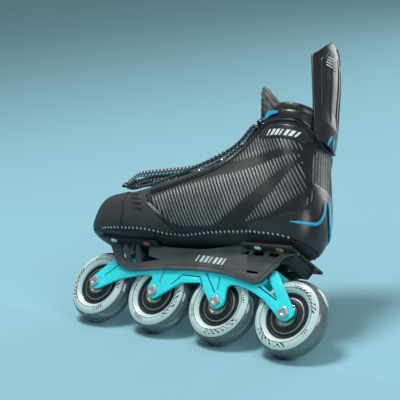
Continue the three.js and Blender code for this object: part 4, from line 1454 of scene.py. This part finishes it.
class SKATE_OT_ribs(bpy.types.Operator):
    """Build the leaning ribs of the composite shell and the plain marks on it"""
    bl_idname = "skate.ribs"
    bl_label = "Shell ribs"

    def execute(self, context):
        pitch, wide, high = (value / MM for value in (sizes().rib_pitch, sizes().rib_width, sizes().rib_height))
        for side, word in SIDES:
            for field, outline in RIB_FIELDS.items():
                bm = bmesh.new()
                for start, end in rib_runs(outline, RIB_LEAN, pitch):
                    steps = max(2, round((end - start).length / 4))
                    line = [start.lerp(end, step / steps) for step in range(steps + 1)]
                    found = [on_side(point.x, point.y, side, 0.85) for point in line]
                    tapers = [0.35] + [1] * (steps - 1) + [0.35]
                    add_tube(bm, [point for point, _ in found], wide / 2, high, 6,
                             [normal for _, normal in found], tapers)
                put_piece(f"ribs_{field}_{word}", bm, [shell_rib()], "boot", "ribbed_shell", sharp=60)
            bm = bmesh.new()
            for row in range(BACK_RIBS):
                share = 0.345 + 0.0145 * row
                share = share if side < 0 else 1 - share
                line, ups = [], []
                for place in np.arange(13.2, 16.1, 0.12):
                    low, top = (Vector(ring(place, offset, [share])[0]) for offset in (0.85, 1.85))
                    if not 126 + 3 * row < low.z < level_on(CUFF, low.x) - 3 or inside(low.x, low.z, REAR_EDGE):
                        continue
                    line.append(low)
                    ups.append(top - low)
                if len(line) > 3:
                    tapers = [0.35] + [1] * (len(line) - 2) + [0.35]
                    add_tube(bm, line, wide / 2, high, 6, ups, tapers)
            put_piece(f"ribs_back_{word}", bm, [shell_rib()], "boot", "ribbed_shell", sharp=60)
            plate = flank_patch(NAME_PLATE, side, 1.35)
            put_piece(f"name_plate_{word}", plate, [patent_black()], "boot", "gloss_black", wall=0.6, edge=0.2)
            bm = bmesh.new()
            for bar in mark_bars(**SHELL_MARK):
                pour(flank_patch([corner[:2] for corner in bar], side, 1.75, step=2.5), bm)
            put_piece(f"shell_mark_{word}", bm, [pale_mark()], "boot", "ribbed_shell", wall=0.4)
            bm = bmesh.new()
            for bar in range(4):
                left, low = -88 + bar * 4.4, 127 - bar * 5.6
                raised = [(left, low), (left + 12, low - 0.3), (left + 12.6, low + 2.9), (left + 0.6, low + 3.2)]
                pour(flank_patch(raised, side, 0.9, step=2), bm)
            put_piece(f"vamp_bars_{word}", bm, [patent_black()], "boot", "matte_grey", wall=0.8, edge=0.25)
        return {"FINISHED"}


class SKATE_OT_trims(bpy.types.Operator):
    """Build the cyan heel trims and the eyelets"""
    bl_idname = "skate.trims"
    bl_label = "Trims"

    def execute(self, context):
        for side, word in SIDES:
            bm = bmesh.new()
            route = [(104, 30, 122.3), (113, 22.6, 124.8), (119, 15, 127.5), (121, 10, 132), (121, 6.5, 141),
                     (118, 4.5, 150), (113.5, 3.5, 158)]
            found = [form_tree().find_nearest(Vector((x, side * y, z)))[:2] for x, y, z in route]
            line = smooth_line([point + normal * 2.3 for point, normal in found], 1.5)
            tapers = [min(1, 0.25 + 0.12 * min(index, len(line) - 1 - index)) for index in range(len(line))]
            ups = [form_tree().find_nearest(point)[1] for point in line]
            add_tube(bm, line, 1.5, 0.55, 8, ups, tapers)
            put_piece(f"cyan_trim_{word}", bm, [cyan_trim()], "boot", "gloss_black", wall=0.5, edge=0.15)
            bm = bmesh.new()
            for place in crown_places(EYELETS):
                y = side * (throat_half(place) + EYELET_INSET)
                point = on_crown(place, y, 1.5)
                normal = (on_crown(place, y, 3.5) - point).normalized()
                eyelet = bmesh.new()
                turn_about_axle(eyelet, [(1.9, 0), (3.3, 0), (3.1, 0.6), (2.5, 0.9), (1.9, 0.7)], 20, 0)
                turn = Vector((0, 1, 0)).rotation_difference(normal).to_matrix()
                bmesh.ops.rotate(eyelet, matrix=turn, verts=eyelet.verts)
                place_bmesh(eyelet, point)
                pour(eyelet, bm)
            put_piece(f"eyelets_{word}", bm, [nickel()], "boot", "axle_steel")
        return {"FINISHED"}


def crown_places(count):
    """Even places along the throat, for rows of eyelets."""
    tops = [Vector(station[0]) for station in STATIONS[5:15]]
    lengths = [0.0]
    for start, end in zip(tops, tops[1:]):
        lengths.append(lengths[-1] + (end - start).length)
    wanted = [8 + (lengths[-1] - 10) * row / (count - 1) for row in range(count)]
    return [5 + float(np.interp(length, lengths, range(len(lengths)))) for length in wanted]


# ---------------------------------------------------------------- padded pieces

def plump(piece, voxel, pressure, cap, frames=20):
    """Blows a padded piece up with a cloth simulation, keeps each point within a cap, and applies it."""
    scene = bpy.context.scene
    remesh = piece.modifiers.new("remesh", "REMESH")
    remesh.mode = "VOXEL"
    remesh.voxel_size = voxel * MM
    settle(piece)
    count = len(piece.data.vertices)
    rest = np.empty(count * 3)
    piece.data.vertices.foreach_get("co", rest)
    cloth = piece.modifiers.new("padding", "CLOTH")
    cloth.settings.quality = 5
    cloth.settings.use_pressure = True
    cloth.settings.uniform_pressure_force = pressure
    cloth.settings.effector_weights.gravity = 0
    cloth.point_cache.frame_start = 1
    cloth.point_cache.frame_end = frames
    for number in range(1, frames + 1):
        scene.frame_set(number)
    shape = piece.evaluated_get(bpy.context.evaluated_depsgraph_get())
    found = np.empty(count * 3)
    shape.data.vertices.foreach_get("co", found)
    piece.modifiers.clear()
    scene.frame_set(1)
    move = (found - rest).reshape(-1, 3)
    length = np.maximum(np.linalg.norm(move, axis=1, keepdims=True), 1e-9)
    move *= np.minimum(1, cap * MM / length)
    piece.data.vertices.foreach_set("co", (rest.reshape(-1, 3) + move).ravel())
    smooth = piece.modifiers.new("smooth", "SUBSURF")
    smooth.levels = smooth.render_levels = 1
    settle(piece, sharp=80)


def press(piece, distance_of, depth, width):
    """Presses a sewn channel into a padded piece; distance_of gives a point's distance to it."""
    for vert in piece.data.vertices:
        away = distance_of(vert.co / MM)
        if away < width:
            share = (1 + math.cos(math.pi * away / width)) / 2
            vert.co -= vert.normal * depth * MM * share


class SKATE_OT_cuff(bpy.types.Operator):
    """Build the padded cuff collar with its cyan tags and its piping"""
    bl_idname = "skate.cuff"
    bl_label = "Cuff"

    def execute(self, context):
        bm = form_patch(-0.6, (9.5, LAST), (0, 1), per_place=5, rows=120)
        trim(bm, region_below(CUFF, 1.6), keep_inside=False)
        trim(bm, region_below(RIM, -1.4))
        trim(bm, [(x, y * 1.16) for x, y in THROAT], keep_inside=False, flat=(0, 1))
        cuff = put_piece("cuff_pad", bm, [patent_black()], None, "gloss_black", wall=5.2)
        plump(cuff, 2.6, 3.5, 2.0)
        press(cuff, lambda point: abs(point.z - level_on(RIM, point.x) + 10), 0.8, 2.2)
        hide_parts("collar")
        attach(cuff, "boot")
        for side, word in SIDES:
            bm = flank_patch([(25, 238.6), (28.5, 230), (32, 229), (54, 232.2), (52, 234.4)], side, 1.9, step=1.5)
            put_piece(f"cuff_tag_{word}", bm, [cyan_trim()], "boot", "gloss_black", wall=0.6, edge=0.15)
        line = [self.on_line(CUFF, share, 0.9) for share in np.linspace(0.09, 0.91, 90)]
        bm = bmesh.new()
        add_tube(bm, line, 1.3, 1.3, 8, [Vector((0, 0, 1))] * len(line))
        put_piece("cuff_piping", bm, [patent_black()], "boot", "gloss_black")
        return {"FINISHED"}

    def on_line(self, line, share, offset):
        """The point at one share of the ring where the form meets a line drawn in the side view."""
        low, high = 8.0, LAST - 0.01
        for _ in range(24):
            place = (low + high) / 2
            x, _, z = ring(place, offset, [share])[0]
            if z < level_on(line, x):
                low = place
            else:
                high = place
        return Vector(ring(low, offset, [share])[0])


TONGUE_ROWS = ((222, 22, 21), (236, 17.5, 24), (248, 13.5, 25.5), (258, 10, 25), (266, 7, 22.5), (272, 4.5, 18.5),
               (275.5, 3, 13), (277, 2, 6))
TONGUE_CURVE = 90


class SKATE_OT_tongue(bpy.types.Operator):
    """Build the tongue under the lace and its padded top"""
    bl_idname = "skate.tongue"
    bl_label = "Tongue"

    def execute(self, context):
        bm = crown_patch((5.7, 13.4), lambda place: -24, lambda place: 24, -2.4, rows=16)
        for vert in bm.verts:
            vert.co.z += 6 * max(0, 1 - (vert.co.y / 17) ** 2)
        put_piece("tongue_body", bm, [felt_black()], "boot", "tongue_felt", ("tongue",), wall=4.0, edge=1.0)
        bm = bmesh.new()
        bmesh.ops.create_grid(bm, x_segments=20, y_segments=24, size=1)
        rows = np.array(TONGUE_ROWS)
        for vert in bm.verts:
            at = (vert.co.y + 1) / 2 * (len(rows) - 1)
            z, x, half = (np.interp(at, range(len(rows)), rows[:, column]) for column in range(3))
            y = vert.co.x * half
            vert.co = Vector((x - 1.6 + y * y / TONGUE_CURVE, y, z))
        bmesh.ops.reverse_faces(bm, faces=bm.faces)
        flap = put_piece("tongue_flap_pad", bm, [felt_black()], None, "tongue_felt", wall=3.4)
        plump(flap, 2.6, 4, 2.4)
        for height in (246, 257, 267):
            press(flap, lambda point: abs(point.z - height), 0.7, 2.4)
        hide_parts("tongue_top")
        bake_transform(flap, "boot", "tongue_flap", start=(0.018, 0, 0.228), end=(0.014, 0, 0.246))
        return {"FINISHED"}


# ---------------------------------------------------------------- tendon guard

GUARD_ROWS = ((214, 100, 17), (222, 99, 22), (236, 97, 24), (252, 91, 24), (285, 82, 26.5), (305, 75.2, 27),
              (321, 69, 16), (332.5, 63, 4))
GUARD_CURVE = 32
GUARD_WALL = 3.6


def on_guard(height, share, lift=0.0):
    """A point on the guard's outer face; share runs from -1 to 1 across it."""
    rows = np.array(GUARD_ROWS)
    back, half = (np.interp(height, rows[:, 0], rows[:, column]) for column in (1, 2))
    angle = math.asin(half / GUARD_CURVE) * share
    radius = GUARD_CURVE + lift
    return Vector((back - GUARD_CURVE + radius * math.cos(angle), radius * math.sin(angle), height))


class SKATE_OT_guard(bpy.types.Operator):
    """Build the tall ribbed tendon guard on the back of the cuff, with its marks"""
    bl_idname = "skate.guard"
    bl_label = "Tendon guard"

    def execute(self, context):
        bm = bmesh.new()
        bmesh.ops.create_grid(bm, x_segments=24, y_segments=60, size=1)
        low, high = GUARD_ROWS[0][0] + 1, GUARD_ROWS[-1][0]
        for vert in bm.verts:
            vert.co = on_guard(low + (high - low) * (vert.co.y + 1) / 2, vert.co.x)
        bmesh.ops.recalc_face_normals(bm, faces=bm.faces)
        if sum(face.normal.x for face in bm.faces) < 0:
            bmesh.ops.reverse_faces(bm, faces=bm.faces)
        guard = put_piece("guard_leaf_shell", bm, [patent_black()], None, "gloss_black", wall=GUARD_WALL, edge=0.9)
        ribs = bmesh.new()
        for share in (-0.62, -0.22, 0.22, 0.62):
            heights = np.linspace(240, 318, 28)
            line = [on_guard(height, share, 0.1) for height in heights]
            ups = [on_guard(height, share, 1.1) - on_guard(height, share) for height in heights]
            tapers = [min(1, 0.2 + 0.2 * min(index, 27 - index)) for index in range(28)]
            add_tube(ribs, line, 1.9, 1.1, 8, ups, tapers)
        for side, _ in SIDES:
            heights = np.linspace(216, 331, 50)
            line = [on_guard(height, side * 0.965, 0) for height in heights]
            ups = [on_guard(height, side * 0.965, 1) - on_guard(height, side * 0.965) for height in heights]
            add_tube(ribs, line, 1.0, 1.0, 8, ups)
        trims = put_piece("guard_ribs", ribs, [patent_black()], None, "gloss_black")
        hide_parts("guard_base", "tendon_guard")
        for piece in (guard, trims):
            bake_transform(piece, "boot", "guard_leaf", start=(0.0972, 0, 0.230), end=(0.0955, 0, 0.243))
        mark = bmesh.new()
        for bar in range(4):
            height = 300 + bar * 3.4
            line = [on_guard(height + 3 * step / 6, -0.5 + step / 6, 0.9) for step in range(4)]
            ups = [on_guard(height, -0.5 + step / 6, 2) - on_guard(height, -0.5 + step / 6, 1) for step in range(4)]
            add_tube(mark, line, 0.8, 0.35, 6, ups)
        put_piece("guard_mark", mark, [pale_mark()], "guard_leaf", "gloss_black")
        dart = bmesh.new()
        for side, _ in SIDES:
            places = [(227 - 2.4 * step, side * (0.06 + 0.045 * step)) for step in range(6)]
            line = [on_guard(height, share, 0.3) for height, share in places]
            ups = [on_guard(height, share, 1.3) - on_guard(height, share, 0.3) for height, share in places]
            add_tube(dart, line, 2.0, 0.5, 8, ups, [0.2, 0.8, 1, 0.9, 0.6, 0.15])
        put_piece("guard_dart", dart, [cyan_trim()], "boot", "gloss_black")
        return {"FINISHED"}


# ---------------------------------------------------------------- laces

BOW_PLACES = (11.3, 10.7, 10, 9.2, 8.2, 7.2, 6.3)
BOW_TIP = ((-104, 167, 11), (-124, 164, 8), (-139, 158, 2))
TAIL_ROWS = ((11.3, 13, 12), (11, 15, 11.8), (10.5, 17, 11.6), (9.8, 18, 11.4), (8.8, 19, 11.2),
             (7.8, 19.5, 11), (6.8, 19.5, 10.8), (6, 19, 10.6), (5.3, 18, 10.6), (4.6, 17, 11),
             (3.9, 16, 11.5))
TAIL_R = 1.6
AGLET_LENGTH = 22


def crown_up(place, y, rise):
    return (on_crown(place, y, rise + 1) - on_crown(place, y, rise)).normalized()


class SKATE_OT_laces(bpy.types.Operator):
    """Build the flat lace, its bow over the toe, and the two free ends"""
    bl_idname = "skate.laces"
    bl_label = "Laces"

    def execute(self, context):
        self.rows()
        self.bow()
        for side, word in SIDES:
            self.tail(side, word)
        return {"FINISHED"}

    def rows(self):
        places = crown_places(EYELETS)
        wide, high = sizes().lace_width / MM / 2, sizes().lace_thick / MM / 2
        bm = bmesh.new()
        for row in range(len(places)):
            pairs = [(row, row, 1)] if row == 0 else [(row - 1, row, 1), (row - 1, row, -1)]
            for start_row, end_row, side in pairs:
                line, ups = [], []
                lift = 1.1 if side < 0 else 0
                for step in range(13):
                    share = step / 12
                    at = places[start_row] + (places[end_row] - places[start_row]) * share
                    reach = throat_half(at) + EYELET_INSET
                    y = side * reach * (1 - 2 * share)
                    arch = math.sin(math.pi * share)
                    rise = 2.8 + (6.4 + lift) * arch ** 0.7
                    line.append(on_crown(at, y, rise))
                    ups.append(crown_up(at, y, rise))
                add_tube(bm, line, wide * 0.8, high, 10, ups, marks=True)
        put_piece("lace_rows", bm, [lace_black()], "boot", "lace_black", ("lace",), sharp=60)

    def bow(self):
        wide, high = sizes().lace_width / MM / 2, sizes().lace_thick / MM / 2
        bm = bmesh.new()
        for side, drop in ((-1, 0.0), (1, 0.6)):
            out, back = [], []
            for index, place in enumerate(BOW_PLACES):
                spread = 4.5 + 6.5 * math.sin(math.pi * index / 9)
                out.append(on_crown(place, side * spread, 16.8 - drop))
                back.append(on_crown(place, side * (spread - 4.2), 11.6 - drop))
            for x, z, y in BOW_TIP:
                out.append(Vector((x, side * min(y, 10), z + 1.2 - drop)))
                back.append(Vector((x + 6, side * max(y - 5, 0.6), z - 1.6 - drop)))
            route = out + [Vector((-144, side * 0.6, BOW_TIP[-1][1] - 0.8))] + back[::-1]
            line = smooth_line(route, 4)
            ups = [Vector((0, side * 0.96, 0.28)) for _ in line]
            add_tube(bm, line, wide * 1.15, high, 10, ups, marks=True)
        for side, _ in SIDES:
            knot = [on_crown(11.5, side * 7 * math.cos(turn), 9.5 + 3.4 * math.sin(turn))
                    + Vector((2.2 * math.sin(2 * turn), 0, 0)) for turn in np.linspace(-0.4, math.pi + 0.4, 14)]
            add_tube(bm, knot, wide * 0.8, high, 10, [Vector((0.4, 0, 0.9))] * 14, marks=True)
        put_piece("lace_bow_loops", bm, [lace_black()], "boot", "lace_black", ("lace_bow",), sharp=60)

    def tail(self, side, word):
        route = [on_crown(place, side * y, rise) for place, y, rise in TAIL_ROWS]
        line = smooth_line(route, 2.5)
        bm = bmesh.new()
        up = Vector((0, 0, 1))
        add_tube(bm, line, TAIL_R, TAIL_R, 12, [up] * len(line), marks=True)
        cord = put_piece(f"lace_end_{word}", bm, [lace_black()], "boot", "lace_black",
                         (f"lace_tail_{word}",), sharp=60)
        run = route[-1] - route[-2]
        run.z = 0
        run.normalize()
        start = route[-1] + run * 0.6
        tip = bmesh.new()
        points = [start + run * AGLET_LENGTH * share for share in (0, 0.03, 0.08, 0.5, 0.92, 0.97, 1)]
        add_tube(tip, points, TAIL_R, TAIL_R, 16, [up] * 7, [0.8, 1, 0.86, 0.86, 0.86, 0.8, 0.5])
        aglet = put_piece(f"lace_tip_{word}", tip, [sole_black()], "boot", "lace_black", (f"aglet_{word}",))
        path = [tuple(point * MM) for point in line]
        length = sum((Vector(end) - Vector(begin)).length for begin, end in zip(path, path[1:]))
        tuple(path[0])


# ---------------------------------------------------------------- inner parts left as they are

class SKATE_OT_inner_parts(bpy.types.Operator):
    """Give the working parts that stay in view their finishes"""
    bl_idname = "skate.inner_parts"
    bl_label = "Inner parts"

    def execute(self, context):
        for node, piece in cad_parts.items():
            if piece.hide_render:
                continue
            material = lining_weave() if node == "insole" else axle_steel()
            piece.data.materials.clear()
            piece.data.materials.append(material)
        return {"FINISHED"}


# ---------------------------------------------------------------- stage

@finish("studio_floor")
def studio_floor(paint):
    """A floor that shows from its upper side only."""
    settings = bpy.context.scene.skate_stage
    tone = paint.mix(paint.noise(1.2, 2), settings.floor, shade(settings.floor, 0.96))
    front = paint.principled(tone, 0.55)
    clear = paint.node("ShaderNodeBsdfTransparent")
    facing = paint.node("ShaderNodeNewGeometry", out="Backfacing")
    return paint.close(paint.node("ShaderNodeMixShader", None, facing, front, clear))


def look_at(place, aim, roll):
    """A camera's matrix from where it stands, what it looks at and its roll."""
    turn = (Vector(aim) - Vector(place)).to_track_quat("-Z", "Y").to_matrix().to_4x4()
    return Matrix.Translation(place) @ turn @ Matrix.Rotation(-roll, 4, "Z")


def add_light(name, place, energy, side, tint=(1, 1, 1)):
    light = bpy.data.lights.new(name, "AREA")
    light.shape = "DISK"
    light.size = side
    light.energy = energy
    light.color = tint
    lamp = bpy.data.objects.new(name, light)
    lamp.matrix_world = look_at(place, (0, 0, 0.12), 0)
    bpy.context.scene.collection.objects.link(lamp)


class SKATE_OT_stage(bpy.types.Operator):
    """Build the camera, the soft lights and the pale floor"""
    bl_idname = "skate.stage"
    bl_label = "Stage"

    def execute(self, context):
        scene = context.scene
        settings = scene.skate_stage
        camera = bpy.data.cameras.new("camera")
        camera.lens = settings.lens
        camera.sensor_width = 36
        camera.clip_start = 0.01
        holder = bpy.data.objects.new("camera", camera)
        holder.matrix_world = look_at(settings.place, settings.aim, settings.roll)
        scene.collection.objects.link(holder)
        scene.camera = holder
        self.floors(settings)
        add_light("key_light", (-0.6, -1.2, 1.6), 34, 0.7)
        add_light("fill_light", (1.5, -0.9, 0.5), 9, 0.8)
        add_light("rim_light", (0.3, 1.2, 1.6), 13, 1.2)
        world = bpy.data.worlds.new("studio")
        world.use_nodes = True
        back = world.node_tree.nodes["Background"]
        back.inputs[0].default_value = (0.72, 0.86, 0.92, 1)
        back.inputs[1].default_value = 0.34
        scene.world = world
        scene.view_settings.view_transform = "Standard"
        return {"FINISHED"}

    def floors(self, settings):
        """A level floor under the wheels, and a leaning one that the skate is tipped over on."""
        rise = TREAD_R * (1 - 1 / math.cos(settings.lean)) * MM
        for name, lean, height in (("level_floor", 0.0, -0.0005), ("leaning_floor", settings.lean, rise - 0.0008)):
            bm = bmesh.new()
            bmesh.ops.create_grid(bm, x_segments=2, y_segments=2, size=6)
            bmesh.ops.rotate(bm, matrix=Matrix.Rotation(lean, 3, "X"), verts=bm.verts)
            bmesh.ops.translate(bm, vec=(0, 0, height), verts=bm.verts)
            mesh = bpy.data.meshes.new(name)
            bm.to_mesh(mesh)
            bm.free()
            floor = bpy.data.objects.new(name, mesh)
            mesh.materials.append(studio_floor())
            floor.visible_shadow = False
            bpy.context.scene.collection.objects.link(floor)


# ---------------------------------------------------------------- panel and registration

STEPS = (SKATE_OT_stage, SKATE_OT_laces, SKATE_OT_wheels, SKATE_OT_axles, SKATE_OT_lower_frame,
         SKATE_OT_upper_chassis, SKATE_OT_dampers, SKATE_OT_rivets, SKATE_OT_sole, SKATE_OT_shell,
         SKATE_OT_ribs, SKATE_OT_trims, SKATE_OT_cuff, SKATE_OT_tongue, SKATE_OT_guard,
         SKATE_OT_inner_parts)


class VIEW3D_PT_skate(bpy.types.Panel):
    """The skate's sizes, colours and building steps"""
    bl_label = "Inline skate"
    bl_idname = "VIEW3D_PT_skate"
    bl_space_type = "VIEW_3D"
    bl_region_type = "UI"
    bl_category = "Skate"

    def draw(self, context):
        for settings in (context.scene.skate_sizes, context.scene.skate_colours, context.scene.skate_stage):
            box = self.layout.box()
            for name in settings.__annotations__:
                box.prop(settings, name)
        for step in STEPS:
            self.layout.operator(step.bl_idname)


CLASSES = (SkateSizes, SkateColours, StageSettings, *STEPS, VIEW3D_PT_skate)


def register():
    for kind in CLASSES:
        bpy.utils.register_class(kind)
    bpy.types.Scene.skate_sizes = bpy.props.PointerProperty(type=SkateSizes)
    bpy.types.Scene.skate_colours = bpy.props.PointerProperty(type=SkateColours)
    bpy.types.Scene.skate_stage = bpy.props.PointerProperty(type=StageSettings)


def unregister():
    del bpy.types.Scene.skate_sizes, bpy.types.Scene.skate_colours, bpy.types.Scene.skate_stage
    for kind in reversed(CLASSES):
        bpy.utils.unregister_class(kind)


def main():
    register()
    for step in STEPS:
        family, name = step.bl_idname.split(".")
        getattr(getattr(bpy.ops, family), name)()


if __name__ == "__main__":
    main()
